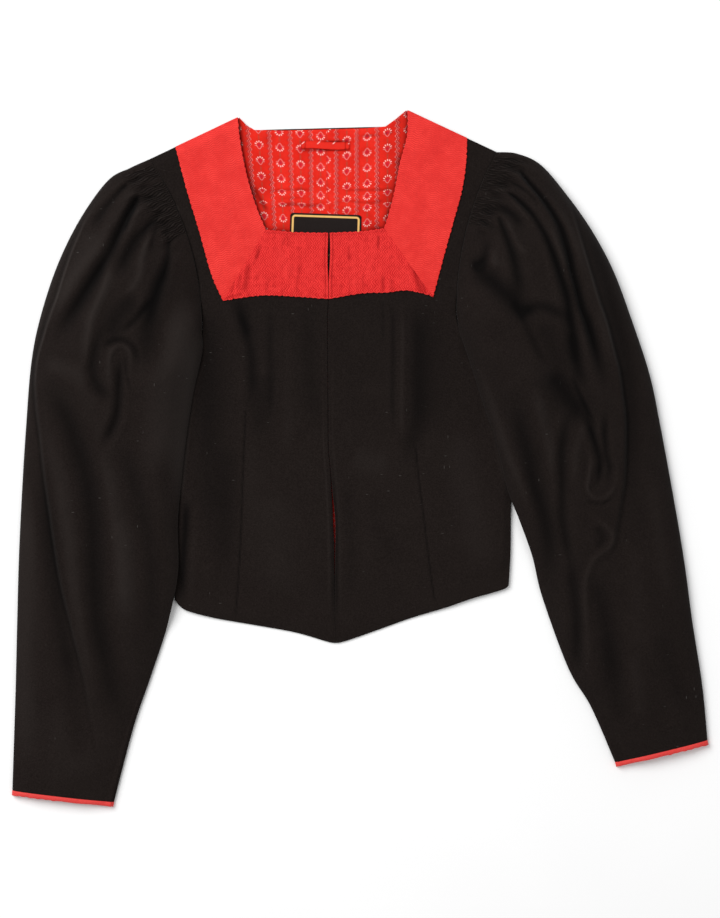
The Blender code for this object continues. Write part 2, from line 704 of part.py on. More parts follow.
def build():
    clear_scene()
    materials = make_materials()
    jacket = bpy.data.collections.new("bolero_jacket")
    bpy.context.scene.collection.children.link(jacket)
    wool, band, lining = materials["black_wool"], materials["red_band"], materials["red_lining"]
    body_layer("back", 0.0, 0.0, 0.0, 0.0, WOOL, wool, jacket)
    body_layer("back_lining", 13.0, 1.5, LINING_HEM, LINING_UNDER, LINING, lining, jacket)
    for side in ("right", "left"):
        front(side, wool, jacket)
        collar(side, band, jacket)
        sleeve(side, wool, jacket)
        cuff_binding(side, band, jacket)
    label(materials["label_weave"], jacket)
    hanger_loop(lining, jacket)


build()
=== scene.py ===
"""The looks of a cropped bolero jacket with puffed sleeves, laid flat with its front upwards.

Each cloth piece is worked out from the same named sizes as its solid, with many more points, and gets its
folds, gathers, seams, scalloped edges and weave. +Y runs towards the neck and +X towards the wearer's left
side. All sizes in the tables are millimetres.
"""

import math

import bmesh
import bpy
import numpy as np
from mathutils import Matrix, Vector


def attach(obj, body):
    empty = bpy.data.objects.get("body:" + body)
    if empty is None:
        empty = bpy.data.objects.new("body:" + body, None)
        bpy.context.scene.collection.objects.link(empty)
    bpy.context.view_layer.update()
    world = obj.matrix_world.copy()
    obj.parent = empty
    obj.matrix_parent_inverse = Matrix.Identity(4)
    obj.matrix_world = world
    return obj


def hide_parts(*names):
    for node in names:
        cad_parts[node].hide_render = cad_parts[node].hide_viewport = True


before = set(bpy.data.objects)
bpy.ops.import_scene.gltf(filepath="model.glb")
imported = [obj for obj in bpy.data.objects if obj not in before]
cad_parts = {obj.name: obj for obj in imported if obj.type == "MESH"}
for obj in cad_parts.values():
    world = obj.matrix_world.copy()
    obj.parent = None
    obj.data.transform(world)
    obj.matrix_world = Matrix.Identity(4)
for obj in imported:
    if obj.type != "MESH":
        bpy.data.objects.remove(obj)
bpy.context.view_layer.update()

MM = 0.001
TAU = 2 * math.pi
SIDE_OF = {"right": 1.0, "left": -1.0}

# Cloth thicknesses and the gap kept between pieces
WOOL = 2.0
LINING = 1.0
BAND = 1.2
LABEL = 0.7
GAP = 0.35
# Moves every piece so that the origin lies under the middle of the outline
PLAN_SHIFT = (-0.25, 1.3, 0.0)

# Height of the fronts' underside: over the lining and label, and at the outer seams
LINING_UNDER = WOOL + GAP
FRONT_UNDER = LINING_UNDER + LINING + LABEL + 2 * GAP + 0.2
SEAM_UNDER = WOOL + GAP
SEAM_TURN = 10.0
FRONT_TOP = FRONT_UNDER + WOOL

# Sleeve tube: half of its folded edge, and how it rises over the side of the body
SLEEVE_EDGE = 2.8
SLEEVE_LIFT = FRONT_TOP + 0.45
LIFT_FULL_OUTSIDE = 6.0
LIFT_RAMP = 34.0
DOME_POWER = 2.35
INNER_SLOPE = 0.8
UNDERSIDE_POWER = 9.0
ARMHOLE_GAP = 0.3
LEAST_HOLLOW = 2.5
LEAST_SLANT = 0.2
# Stations between which the folds come in below the shirring, and out again above the cuff
FOLDS_START = 0.6
FOLDS_RAMP = 1.2
# How much painted shade darkens the left sleeve and the upper fronts, how much painted light brightens the
# sleeves' rims, and how much painted light brightens the fronts just beside the sleeves' edges
SLEEVE_SHADE = {"right": 0.0, "left": 0.12}
UPPER_SHADE = 0.14
RIM_LIGHT = {"right": 0.5, "left": 0.05}
LIGHT_BESIDE_SLEEVE = {"right": 0.7, "left": 0.25}

# Shirred band of the sleeve head: pleats between two shares of the upper cloth, crossed by rows of stitching
PLEATS = 36
PLEAT_FIRST = 0.03
PLEAT_LAST = 0.455
PLEAT_HEIGHT = 1.0
# Painted shade between the pleats and painted light on their crests
PLEAT_TONE = 0.62
PLEAT_FADE_START = 1.15
STITCH_ROW = 0.55
POINTS_A_PLEAT = 7
# Shares of the upper cloth at which a few pleats are missing, as (centre, half width)
PLAIN_GAP = {"right": (0.125, 0.012), "left": (0.262, 0.016)}

# Shares across the upper cloth of a sleeve, close together at both edges
EDGE_OUT = (0, 0.0012, 0.0035, 0.007, 0.012, 0.018, 0.024)
EDGE_IN = (0.968, 0.975, 0.981, 0.986, 0.99, 0.994, 0.997, 0.999, 1.0)
PLEAT_SHARES = np.linspace(PLEAT_FIRST, PLEAT_LAST, PLEATS * POINTS_A_PLEAT + 1)
UPPER = np.array([*EDGE_OUT, *PLEAT_SHARES, *np.linspace(PLEAT_LAST, 0.96, 64)[1:], *EDGE_IN])
# Shares across its underside, from the inner edge back to the outer one
LOWER_EDGE = (0.9985, 0.996, 0.992, 0.985, 0.975, 0.96, 0.94)
LOWER = np.array([*LOWER_EDGE, *np.linspace(0.915, 0.085, 52), *[1 - share for share in LOWER_EDGE[::-1]]])
# Columns of points that carry on past the shirring: all of them but three in four of the pleats' own
ALL_COLUMNS = range(len(UPPER) + len(LOWER))
PLEAT_COLUMNS = range(len(EDGE_OUT), len(EDGE_OUT) + len(PLEAT_SHARES))
KEPT_COLUMNS = sorted({*ALL_COLUMNS} - {*PLEAT_COLUMNS} | {*PLEAT_COLUMNS[::4]})

BINDING_WALL = 1.8
# Rings of the cuff binding, as (distance past the sleeve, swell)
BINDING_RINGS = ((0.35, -0.2), (0.7, 0.25), (1.5, 0.5), (2.7, 0.55), (3.9, 0.4), (4.7, 0.05), (5.1, -0.4))

# Sleeve sections as (outer x, outer y, inner x, inner y, bow, crown height), a station each: armhole, band,
# head, top, middle and low end of the puff, upper arm, above, at and below the elbow, forearm, lower arm,
# wrist and cuff
SLEEVES = {
    "right": (
        (-221.5, 313, -166, 131, 14.5, 9.5), (-241.5, 304, -165, 120, 12, 17),
        (-265, 290.5, -165, 112, 8, 27), (-294, 250, -168, 96, 3, 37),
        (-318, 201, -173, 75, 0, 40), (-336, 146, -177.5, 50, 0, 38),
        (-345.5, 98, -182, 20, 0, 34), (-351, 31, -187, -24, 0, 30),
        (-355, -32, -191, -69, 0, 28), (-358.5, -105, -190.8, -121, 0, 26),
        (-360.5, -179, -201.5, -174, 0, 24), (-362, -242, -219.3, -229, 0, 20),
        (-363.5, -289, -238, -284, 0, 15), (-365.5, -350, -258.6, -362.3, 0, 11.5),
    ),
    "left": (
        (144, 320.5, 102, 144.5, 12, 9.5), (165, 319, 103, 136, 10, 17),
        (190, 307, 105, 128, 7, 27), (217.5, 275, 111.5, 110, 3, 37),
        (243.5, 238, 121, 81, 0, 40), (266, 196, 131, 50, 0, 38),
        (285.5, 144, 142, 18, 0, 34), (304.5, 86, 154.5, -34, 0, 30),
        (316, 31, 167, -66, 0, 28), (330.5, -48, 181, -105, 0, 26),
        (341, -111, 191.5, -147, 0, 24), (349.5, -174, 219, -222, 0, 20),
        (359.8, -240, 243, -263, 0, 15), (365.3, -297, 268, -320.5, 0, 11.5),
    ),
}
LAST_STATION = 13
# Stations of its rings of points: close together over the shirring, and again towards the cuff
FINE_STATIONS = np.linspace(0, 1.95, 46)
PLAIN_STATIONS = np.concatenate((np.linspace(2.0, 10.4, 165), np.linspace(10.45, LAST_STATION, 50)))

# Folds as (name, kind, half width, depth, shade, then the x and y of each point along it)
# A groove sinks below the cloth, a gather is a groove that widens along its line, a ridge stands above it,
# a step lowers the cloth outside its line and a seam is a narrow groove of even depth
# The shade is painted into the colour: painted shade along grooves, gathers, steps and seams, painted light
# along ridges
RIGHT_SLEEVE_FOLDS = (
    ("upper valley", "gather", 4.4, 4, 0.65, -243, 286, -251, 278, -260, 267, -268, 257, -275, 245, -282,
     229),
    ("long gather", "gather", 7.4, 11, 1.05, -230, 276, -237, 264, -245, 248, -253, 229, -260, 212, -268,
     199, -276, 187, -285, 173, -295, 157, -305, 142, -312, 127, -316, 113),
    ("beside it", "groove", 1.9, 1.2, 0.5, -234, 264, -241, 247, -246, 233),
    ("second gather", "gather", 6.3, 6, 0.8, -208, 249, -218, 244, -226, 235, -233, 227, -239, 216, -244,
     206, -248, 194, -251, 183),
    ("third gather", "groove", 2.9, 2.5, 0.5, -211, 244, -214, 234, -216, 225, -219, 210),
    ("inner gather", "gather", 5.2, 6, 0.6, -202, 236, -199, 222, -200, 207, -204, 192, -209, 179, -213,
     166, -217, 152, -221, 133, -224, 116),
    ("inner hollow", "groove", 12.6, 3, 0.5, -200, 216, -205, 188, -211, 162, -216, 136, -220, 113, -226,
     82),
    ("slash", "groove", 3.2, 3, 0.5, -216, 165, -223, 155, -231, 144, -239, 136, -247, 129),
    ("hollow over the hook", "groove", 13.7, 3, 0.55, -227, 166, -240, 156, -251, 144, -258, 129, -268,
     114),
    ("hook, outer", "groove", 3.2, 2.6, 0.5, -267, 110, -263, 116, -256, 120, -248, 121, -241, 119, -235,
     114, -231, 104, -230, 92),
    ("hook", "ridge", 2.7, 3, 0.22, -261, 75, -260, 94, -258, 107, -253, 113, -247, 116, -241, 113, -237,
     106, -236, 95, -234, 75),
    ("elbow crease", "groove", 4.4, 6, 0.66, -249, 111, -249, 92, -250, 75, -251, 57, -253, 42, -258, 29,
     -264, 18, -273, 5),
    ("beside the crease", "groove", 1.9, 1, 0.35, -243, 105, -242, 87, -238, 66),
    ("left of the hook", "groove", 6.3, 4, 0.6, -264, 136, -272, 118, -277, 100, -277, 86, -272, 73, -263,
     63, -255, 54),
    ("long ridge", "ridge", 4.7, 2.5, 0.32, -252, 225, -260, 202, -264, 178, -271, 159, -278, 142, -282,
     119, -284, 98, -290, 86),
    ("upper ridge", "ridge", 3.7, 1.5, 0.28, -232, 282, -241, 268, -249, 252, -258, 233),
    ("lobe ridge", "ridge", 3.8, 1.8, 0.26, -213, 236, -221, 225, -226, 208, -227, 191, -235, 176, -247,
     166, -261, 162),
    ("lit slope", "ridge", 13.7, 1.2, 0.3, -265, 244, -281, 214, -294, 191, -306, 162, -318, 131),
    ("lower slope", "ridge", 8.4, 1.5, 0.22, -329, 98, -312, 93, -296, 86, -279, 76),
    ("outer edge", "step", 2.3, 5, 0.5, -272, 273, -287, 250, -294, 234, -302, 214, -310, 189, -317, 166,
     -325, 146, -331, 127, -337, 107, -340, 91, -340, 72, -338, 49, -335, 28, -329, -24, -323, -66, -317,
     -107, -311, -139, -303, -170, -295, -202, -288, -233, -282, -270, -275, -307),
    ("lit edge", "ridge", 1.1, 0.5, 0.62, -274.5, 265, -285.6, 249, -292.6, 233, -300.7, 213, -308.9, 188,
     -316.1, 165, -323.5, 145, -329.8, 126, -335.8, 107, -338.3, 91, -338.9, 72, -336.9, 49),
    ("below the edge", "groove", 9.5, 1.5, 0.46, -336, -3, -330, -45, -325, -87, -319, -128, -312, -170,
     -306, -212, -300, -254),
    ("forearm valley", "groove", 11.6, 5, 0.64, -331, 88, -321, 70, -311, 53, -301, 31, -293, 7, -285, -18,
     -280, -47, -277, -86, -276, -138, -273, -175, -267, -206, -258, -248, -252, -272, -244, -297),
    ("forearm ridge", "ridge", 9.5, 2, 0.14, -327, 28, -319, 2, -312, -29, -305, -65, -298, -107, -292,
     -149, -285, -190, -280, -232, -273, -274),
    ("inner valley", "groove", 9.5, 3, 0.36, -247, 18, -238, -13, -228, -50, -219, -91, -216, -133, -218,
     -170, -226, -201),
    ("inner ridge", "ridge", 7.4, 1.5, 0.18, -273, 5, -263, -19, -258, -50, -251, -91, -246, -138, -241,
     -180),
    ("lit inner side", "ridge", 19.9, 1.5, 0.42, -182, 170, -186, 131, -193, 90, -199, 49, -202, 7, -203,
     -24),
    ("lit patch", "ridge", 10.5, 1, 0.2, -247, -60, -244, -97, -243, -138, -246, -175),
    ("lit outer strip", "ridge", 11.6, 0, 0.3, -348, -13, -350, -76, -351, -149, -352, -222, -351, -285,
     -349, -332),
    ("lit cuff", "ridge", 31.5, 0.5, 0.12, -323, -253, -307, -285, -297, -313, -288, -342),
    ("lit inner edge", "ridge", 8.4, 0, 0.45, -171, 132, -174, 101, -179, 59, -183, 18, -188, -24, -191,
     -55),
    ("cuff valley", "groove", 10.5, 2, 0.2, -306, -190, -300, -232, -296, -280, -292, -322),
)
LEFT_SLEEVE_FOLDS = (
    ("long gather", "gather", 4.6, 10, 1.2, 167, 303, 171, 294, 178, 285, 187, 274, 195, 263, 203, 250,
     209, 238, 213, 225, 217, 210, 220, 193, 225, 175, 230, 155, 236, 140, 241, 124, 246, 108, 251, 91,
     256, 71, 259, 49),
    ("upper strand", "groove", 1.9, 1.5, 0.5, 156, 288, 167, 282, 178, 273, 187, 261),
    ("second gather", "gather", 4.6, 6, 1.0, 150, 278, 159, 273, 169, 264, 180, 252, 190, 236, 197, 221,
     203, 205, 209, 186, 215, 166, 218, 149, 221, 131, 227, 100, 236, 73, 246, 51),
    ("third gather", "groove", 3.8, 3, 0.5, 141, 265, 153, 258, 163, 249, 171, 237),
    ("pocket", "gather", 5.2, 5, 0.75, 144, 252, 149, 240, 154, 227, 158, 214, 161, 201, 164, 186, 166,
     173, 169, 152),
    ("ring", "groove", 5.2, 2.5, 0.62, 129, 229, 132, 214, 126, 201, 118, 202, 113, 208),
    ("diagonal hollow", "groove", 10.0, 4, 0.78, 108, 216, 116, 206, 126, 193, 138, 182, 151, 170, 161,
     159, 172, 146, 182, 131),
    ("long diagonal", "groove", 3.8, 3.5, 0.32, 157, 162, 165, 150, 173, 135, 180, 120, 187, 105, 195, 92),
    ("cross wrinkle", "groove", 5.7, 2.5, 0.6, 162, 148, 174, 152, 186, 156, 198, 153, 209, 147, 219, 138),
    ("shaded side", "groove", 14.7, 1, 0.26, 186, 140, 196, 121, 207, 104, 215, 88),
    ("elbow hollow, upper", "groove", 6.3, 2.5, 0.4, 219, 131, 221, 113, 225, 94, 232, 71),
    ("elbow hollow", "groove", 12.6, 4, 0.72, 197, 92, 207, 77, 217, 62, 228, 49, 240, 34),
    ("strand at the elbow", "groove", 2.3, 1.5, 0.4, 220, 85, 227, 69, 234, 54, 241, 41, 248, 28),
    ("lobe ridge", "ridge", 3.8, 2, 0.26, 152, 247, 157, 232, 166, 216, 178, 210),
    ("small lobe", "ridge", 4.7, 2, 0.28, 138, 219, 138, 206, 144, 196),
    ("ridge between", "ridge", 4.0, 2.5, 0.26, 166, 272, 177, 260, 186, 246, 195, 233, 203, 218, 212, 201,
     220, 180, 228, 146, 237, 112, 247, 78),
    ("outer ridge", "ridge", 5.0, 2, 0.2, 192, 267, 206, 253, 219, 236, 227, 218, 234, 201, 247, 166, 257,
     131, 266, 98, 269, 69),
    ("inner slope", "ridge", 12.6, 1.5, 0.04, 112, 162, 122, 136, 134, 111, 145, 85),
    ("outer edge", "step", 2.3, 5, 0.5, 215, 273, 223, 252, 229, 231, 234, 213, 241, 189, 249, 163, 257,
     140, 263, 117, 270, 91, 274, 65, 277, 39, 277, 7, 276, -24, 272, -50, 268, -76, 262, -99),
    ("lit edge", "ridge", 1.2, 0.4, 0.42, 216.1, 269, 222.1, 252, 228.0, 231, 233.1, 213, 240.3, 189,
     247.5, 163, 255.9, 140, 262.2, 117, 268.5, 91, 272.8, 65),
    ("outside the edge", "groove", 8.4, 2, 0.42, 225, 265, 240, 234, 251, 203, 262, 163, 273, 124, 281, 80,
     284, 28, 283, -24, 276, -66),
    ("inner valley", "groove", 8.9, 4, 0.6, 158, 75, 163, 47, 169, 22, 176, -3, 181, -26, 188, -48, 194,
     -68, 198, -93, 198, -119, 203, -149),
    ("ridge of the valley", "ridge", 6.8, 2, 0.26, 182, 75, 187, 51, 194, 26, 199, 2, 201, -24),
    ("inner edge ridge", "ridge", 5.2, 1.5, 0.26, 119, 109, 128, 82, 137, 57, 146, 28, 155, 2, 164, -18,
     173, -40, 181, -63, 189, -92),
    ("elbow valley", "groove", 4.8, 3.5, 0.58, 220, 51, 213, 28, 210, 2, 211, -29, 211, -60, 215, -86, 219,
     -107, 226, -130),
    ("ridge inside it", "ridge", 5.2, 2, 0.24, 233, 38, 228, 18, 225, -5, 225, -32),
    ("cup", "groove", 3.8, 5, 0.8, 233, 51, 240, 30, 246, 11, 250, -4, 249, -19, 245, -34),
    ("cup, right", "groove", 3.4, 3.5, 0.62, 256, 49, 255, 22, 257, 2, 260, -12, 256, -29),
    ("cup rim", "ridge", 2.3, 3, 0.36, 236, 11, 240, -4, 238, -22, 237, -34, 242, -41, 249, -44, 257, -41,
     263, -34, 268, -24, 268, -1),
    ("under the rim", "groove", 1.9, 1.2, 0.4, 236, -45, 245, -48, 255, -47, 264, -41),
    ("bent crease", "ridge", 3.6, 3, 0.27, 232, -48, 241, -60, 249, -67, 257, -74, 264, -83, 262, -91, 252,
     -100, 244, -107, 239, -117, 235, -133, 235, -149, 236, -170, 238, -196, 240, -224, 243, -257),
    ("right of the crease", "groove", 9.5, 3.5, 0.37, 241, -119, 248, -140, 256, -165, 261, -193, 267,
     -222, 274, -255),
    ("left of the crease", "groove", 6.3, 3.5, 0.52, 219, -107, 223, -136, 227, -170, 227, -201, 230, -228),
    ("inside the bend", "groove", 5.2, 2, 0.35, 246, -72, 253, -84, 247, -97),
    ("forearm valley", "groove", 10.5, 3, 0.2, 256, -180, 260, -220, 269, -253, 278, -283),
    ("cuff valley", "groove", 9.5, 2.5, 0.18, 315, -180, 324, -213, 335, -245, 348, -272),
    ("cuff ridge", "ridge", 10.5, 1.5, 0.2, 285, -201, 290, -243, 296, -281),
    ("lit forearm", "ridge", 14.7, 1, 0.18, 284, -81, 289, -128, 292, -175, 289, -217),
    ("lit outer forearm", "ridge", 9.5, 0.6, 0.22, 303, -13, 310, -65, 317, -117, 323, -167),
)
RIGHT_FRONT_FOLDS = (
    ("dart", "seam", 0.9, 0.9, 0.65, -119.7, 49, -120.8, 28, -122.2, -5, -124.4, -66, -127.1, -120, -130.7,
     -168),
    ("side panel", "groove", 17.9, 0.4, 0.42, -164, 159, -162, 112, -160, 60, -158, 7, -155, -56, -154,
     -119),
    ("side panel, low", "groove", 11.6, 0.3, 0.26, -136, 18, -138, -24, -140, -77, -143, -140),
    ("over the dart", "groove", 5.5, 1.5, 0.56, -130, 167, -125, 149, -119, 129, -114, 108, -113, 89, -114,
     68, -118, 43),
    ("beside the fold", "groove", 9.5, 0.4, 0.3, -101, 89, -103, 60, -108, 18),
    ("hollow at the top", "groove", 9.5, 0.6, 0.3, -128, 169, -121, 146, -116, 123),
    ("second fall", "groove", 3.8, 0.7, 0.28, -94, 162, -94, 118, -93, 72, -96, 35),
    ("third fall", "groove", 9.5, 0.4, 0.2, -54, 169, -54, 123, -50, 70, -46, 18),
    ("slack between", "ridge", 7.4, 0.5, 0.14, -77, 144, -76, 91, -75, 39, -78, -3),
    ("lower slack", "ridge", 21.0, 0.3, 0.12, -94, -35, -89, -87, -84, -150),
    # The fold beside the sleeve is mostly painted shadow cast by the sleeve's edge, over a shallow groove
    ("beside the sleeve", "groove", 4.4, 0.5, 0.9, -182, -41, -183, -66, -185, -98, -187, -129, -188, -156),
    ("fold of the opening", "groove", 2.1, 0.2, 0.55, -32, -14, -29, -45, -28, -77, -28, -119, -28, -150,
     -27, -192),
    ("pressed edge", "ridge", 0.9, 0.15, 0.22, -39.4, 165, -39.2, 91, -38.3, 18, -35.7, -24, -33.6, -66,
     -32.6, -119, -31.5, -171),
)
LEFT_FRONT_FOLDS = (
    ("dart", "seam", 0.9, 0.9, 0.65, 58.3, 12, 62.0, -24, 66.2, -56, 70.4, -92, 74.5, -124, 78.8, -153),
    ("over the dart", "groove", 8.9, 1.6, 0.43, 60, 167, 61, 133, 61, 91, 61, 55, 58, 26, 52, 7, 44, -16),
    ("beside it", "groove", 13.7, 0.5, 0.26, 71, 167, 74, 112, 72, 60, 69, 18),
    ("crest beside it", "ridge", 2.1, 0.6, 0.26, 44, 167, 45, 123, 44, 81, 44, 39, 45, 18),
    ("thin fall", "groove", 2.5, 0.5, 0.42, 34, 165, 35, 112, 34, 60, 36, 28),
    ("thin line", "groove", 1.7, 0.3, 0.24, 24, 166, 24, 118),
    ("slack", "ridge", 8.4, 0.4, 0.16, 2, 75, 15, 69, 29, 63),
    ("lower slack", "ridge", 13.7, 0.4, 0.17, -8, 1, 10, -5, 32, -9),
    ("beside the opening", "groove", 6.3, 0.3, 0.2, -15, -24, -10, -66, -8, -108, -12, -150),
    ("lower hollow", "groove", 12.6, 0.3, 0.12, 13, -40, 21, -77, 42, -119),
    ("side slack", "ridge", 16.8, 0.4, 0.14, 100, 39, 109, -14, 120, -77, 126, -124),
    ("fold of the opening", "groove", 2.1, 0.2, 0.55, -30, -14, -27, -45, -25, -77, -25, -119, -25, -150,
     -25, -192),
    ("pressed edge", "ridge", 0.9, 0.15, 0.22, -29.4, 165, -28.9, 91, -28.4, 18, -25.2, -24, -22.6, -66,
     -21.5, -119, -21.5, -171),
)
RIGHT_BAND_FOLDS = (
    ("beside the mitre", "groove", 3.2, 0.9, 0.6, -121, 170, -119, 184, -117.6, 194, -115.6, 205),
    ("mitre fold", "groove", 1.7, 0.5, 0.4, -113, 199, -109, 208, -106, 216, -103, 225),
    ("short pucker", "groove", 1.7, 0.4, 0.3, -108, 208, -107, 213, -106.4, 219),
    ("pucker", "groove", 1.5, 0.4, 0.4, -128, 173, -126, 184, -125, 194),
    ("pucker", "groove", 1.3, 0.3, 0.35, -135, 171, -133.5, 180, -132, 188),
    ("pucker", "groove", 1.5, 0.3, 0.4, -81, 221, -80, 226, -79.4, 230),
    ("lower rim", "groove", 1.2, 0.4, 0.5, -146, 162.5, -140, 166.5, -131, 169.5, -122, 172),
    ("pucker", "groove", 2.0, 0.4, 0.3, -98, 171, -97, 181, -94, 190),
    ("pucker", "groove", 1.8, 0.4, 0.3, -64, 168, -66, 180, -63, 196, -60, 206),
    ("pucker", "groove", 1.4, 0.3, 0.3, -77, 236, -75, 226, -76, 218),
    ("slack", "ridge", 7.0, 0.6, 0.12, -90, 225, -78, 205, -74, 184),
)
LEFT_BAND_FOLDS = (
    ("beside the mitre", "groove", 3.4, 0.8, 0.65, 66, 165, 63, 178, 59.6, 190, 55, 203),
    ("mitre fold", "groove", 1.6, 0.5, 0.5, 60, 189, 54.6, 203, 46.6, 216, 40, 226),
    ("pucker at the corner", "groove", 1.5, 0.5, 0.8, 19.6, 233, 19.2, 225, 19, 216),
    ("pucker", "groove", 2.0, 0.5, 0.5, 24.5, 170, 24, 181, 25, 192),
    ("pucker", "groove", 1.6, 0.4, 0.5, 70, 170, 67.4, 178, 65.6, 188),
    ("pucker", "groove", 1.5, 0.4, 0.35, -11, 205, -11.6, 214, -10.8, 222),
    ("pucker", "groove", 2.4, 0.5, 0.35, 35.5, 168, 34, 179, 33, 188),
    ("pucker", "groove", 1.8, 0.4, 0.3, 5, 170, 3, 182, 4, 196),
    ("slack", "ridge", 7.0, 0.6, 0.12, 24, 226, 14, 206, 12, 186),
)
LINING_FOLDS = (
    ("facing seam, right", "seam", 0.6, 0.5, 0.55, -104, 334, -92, 334, -74, 333.6, -62, 334.2),
    ("facing seam, left", "seam", 0.6, 0.5, 0.6, -12, 335, 0, 336.4, 12, 338.4, 25, 340, 36, 341),
    ("centre pleat", "seam", 0.5, 0.6, 0.25, -36, 345, -35.5, 320, -34.5, 290, -33, 268, -30, 256),
    ("wrinkle, right", "groove", 1.6, 0.9, 0.35, -98, 279, -80, 280.5, -62, 281, -44, 279),
    ("wrinkle, left", "groove", 1.4, 0.8, 0.45, -18, 280, -5, 280.5, 10, 280.6, 24, 281, 37, 283),
    ("lower wrinkle", "groove", 1.8, 1.0, 0.45, -90, 263, -72, 265.5, -54, 264, -34, 266),
    ("lower wrinkle, left", "groove", 1.6, 1.0, 0.35, -26, 268, -8, 268.5, 12, 267, 27, 270),
    ("corner wrinkle", "groove", 2.2, 0.9, 0.5, -112, 285, -104, 270, -97, 258),
    ("bar wrinkle", "groove", 1.2, 0.6, 0.3, -86, 271, -70, 272.5, -56, 272),
    ("slack, upper", "ridge", 5.0, 0.6, 0.12, -90, 300, -60, 303, -30, 301),
    ("slack, lower", "ridge", 5.0, 0.7, 0.15, -80, 273, -50, 274, -20, 274, 10, 273),
)
SLEEVE_FOLDS = {"right": RIGHT_SLEEVE_FOLDS, "left": LEFT_SLEEVE_FOLDS}
FRONT_FOLDS = {"right": RIGHT_FRONT_FOLDS, "left": LEFT_FRONT_FOLDS}
BAND_FOLDS = {"right": RIGHT_BAND_FOLDS, "left": LEFT_BAND_FOLDS}
STEP_REACH = 90

# Short folds that run out of the shirred band, as (share across, half width, depth, last station)
RELEASE_FOLDS = {
    "right": (
        (0.045, 2.2, 1.6, 1.7), (0.085, 2.6, 2.4, 2.3), (0.13, 3.2, 2.8, 2.0), (0.165, 2.4, 1.5, 2.7),
        (0.205, 3.4, 3.2, 2.9), (0.25, 2.6, 2.2, 2.1), (0.285, 3.6, 3.0, 2.6), (0.33, 2.4, 1.8, 1.9),
        (0.365, 3.2, 2.6, 2.8), (0.405, 2.8, 2.4, 2.2), (0.44, 3.0, 2.0, 2.5), (0.49, 4.5, 1.6, 2.4),
    ),
    "left": (
        (0.05, 2.4, 1.8, 2.2), (0.09, 3.0, 2.6, 2.8), (0.135, 2.4, 1.6, 1.9), (0.17, 3.2, 2.8, 2.5),
        (0.215, 2.6, 2.0, 3.0), (0.265, 3.6, 3.0, 2.3), (0.3, 2.4, 1.6, 1.8), (0.335, 3.4, 3.2, 2.9),
        (0.38, 2.6, 2.4, 2.1), (0.42, 3.2, 2.6, 2.6), (0.46, 3.0, 1.8, 2.0), (0.51, 4.5, 1.6, 2.6),
    ),
}
# Painted shade in the short folds, scaled by each fold's depth over its half width
RELEASE_TONE = 0.42
# Waves that make lying cloth slightly uneven, as (across, along, phase, share)
WAVES = (
    (0.105, 0.046, 0.3, 0.28), (-0.067, 0.121, 1.9, 0.24), (0.151, -0.084, 4.1, 0.18),
    (0.048, 0.197, 2.7, 0.16), (0.214, 0.163, 5.2, 0.14),
)

# Side of the body below the armhole, from the lower armhole to the hem corner
SIDE_EDGES = {
    "right": ((-176, 92), (-204.5, 71), (-200, 20), (-197, -43), (-196, -112), (-195, -150)),
    "left": ((122, 102), (170, 75), (163, 20), (159, -43), (158, -107), (156.3, -135)),
}
# Centre front edges at the rows from the neck down to the hem
FRONT_EDGES = {
    "right": (
        (-34.5, 233.5), (-34.8, 212), (-35, 187), (-35.2, 160), (-35.3, 131), (-35, 92),
        (-34.5, 71), (-32.8, 20), (-29.6, -43), (-27.1, -118), (-24.8, -194),
    ),
    "left": (
        (-30.8, 233.5), (-31.6, 218), (-32.4, 194), (-33, 170), (-33.6, 144.5), (-33.8, 102),
        (-33, 75), (-31.4, 20), (-28, -43), (-25.8, -118), (-23.8, -194),
    ),
}
FRONT_EDGE_TURN = 8.8
# Hem line of each front, from the side corner to the centre
HEMS = {
    "right": (
        (-195, -150), (-189, -157), (-180, -162.3), (-151, -169.8), (-108, -177.3),
        (-67, -184.8), (-33.6, -194.5), (-24.8, -195.5),
    ),
    "left": (
        (156.3, -135), (150, -139.5), (119, -148.5), (90, -158.5), (55, -169),
        (19, -181.8), (-16.5, -194.2), (-23.8, -195.5),
    ),
}
# How the two fronts and the two band strips meet, as (y, middle of the gap, width of the gap)
FRONT_GAP = (
    (240, -32.5, 0.5), (217, -32.4, 0.6), (196, -32.9, 0.5), (169, -32.8, 0.4), (149, -33.9, 0.35),
    (118, -33.8, 0.35), (86, -33.6, 0.35), (18, -33.3, 0.35), (5, -32.9, 0.35), (-8, -31.5, 0.35),
    (-24, -30.2, 0.5), (-40, -29.2, 1.0), (-55, -27.9, 1.9), (-71, -27.0, 2.4), (-84, -26.6, 1.8),
    (-93, -26.5, 1.0), (-110, -26.6, 0.8), (-130, -26.7, 0.4), (-150, -26.5, 0.0), (-171, -26.1, -0.3),
    (-196, -25.0, -0.4),
)
BAND_GAP = (
    (236, -32.6, 1.4), (226, -32.5, 2.1), (214, -32.6, 2.7), (200, -32.9, 2.0), (194, -33.0, 1.3),
    (188, -33.0, 0.7), (180, -33.0, 0.4), (164, -32.8, 0.4),
)
BACK_NECK = ((-128.5, 357), (-121, 349), (-112.3, 344), (28, 347.6), (37.8, 354.5), (50, 364.5))
BACK_HEM_DROP = 9.0
LINING_HEM = 28.0
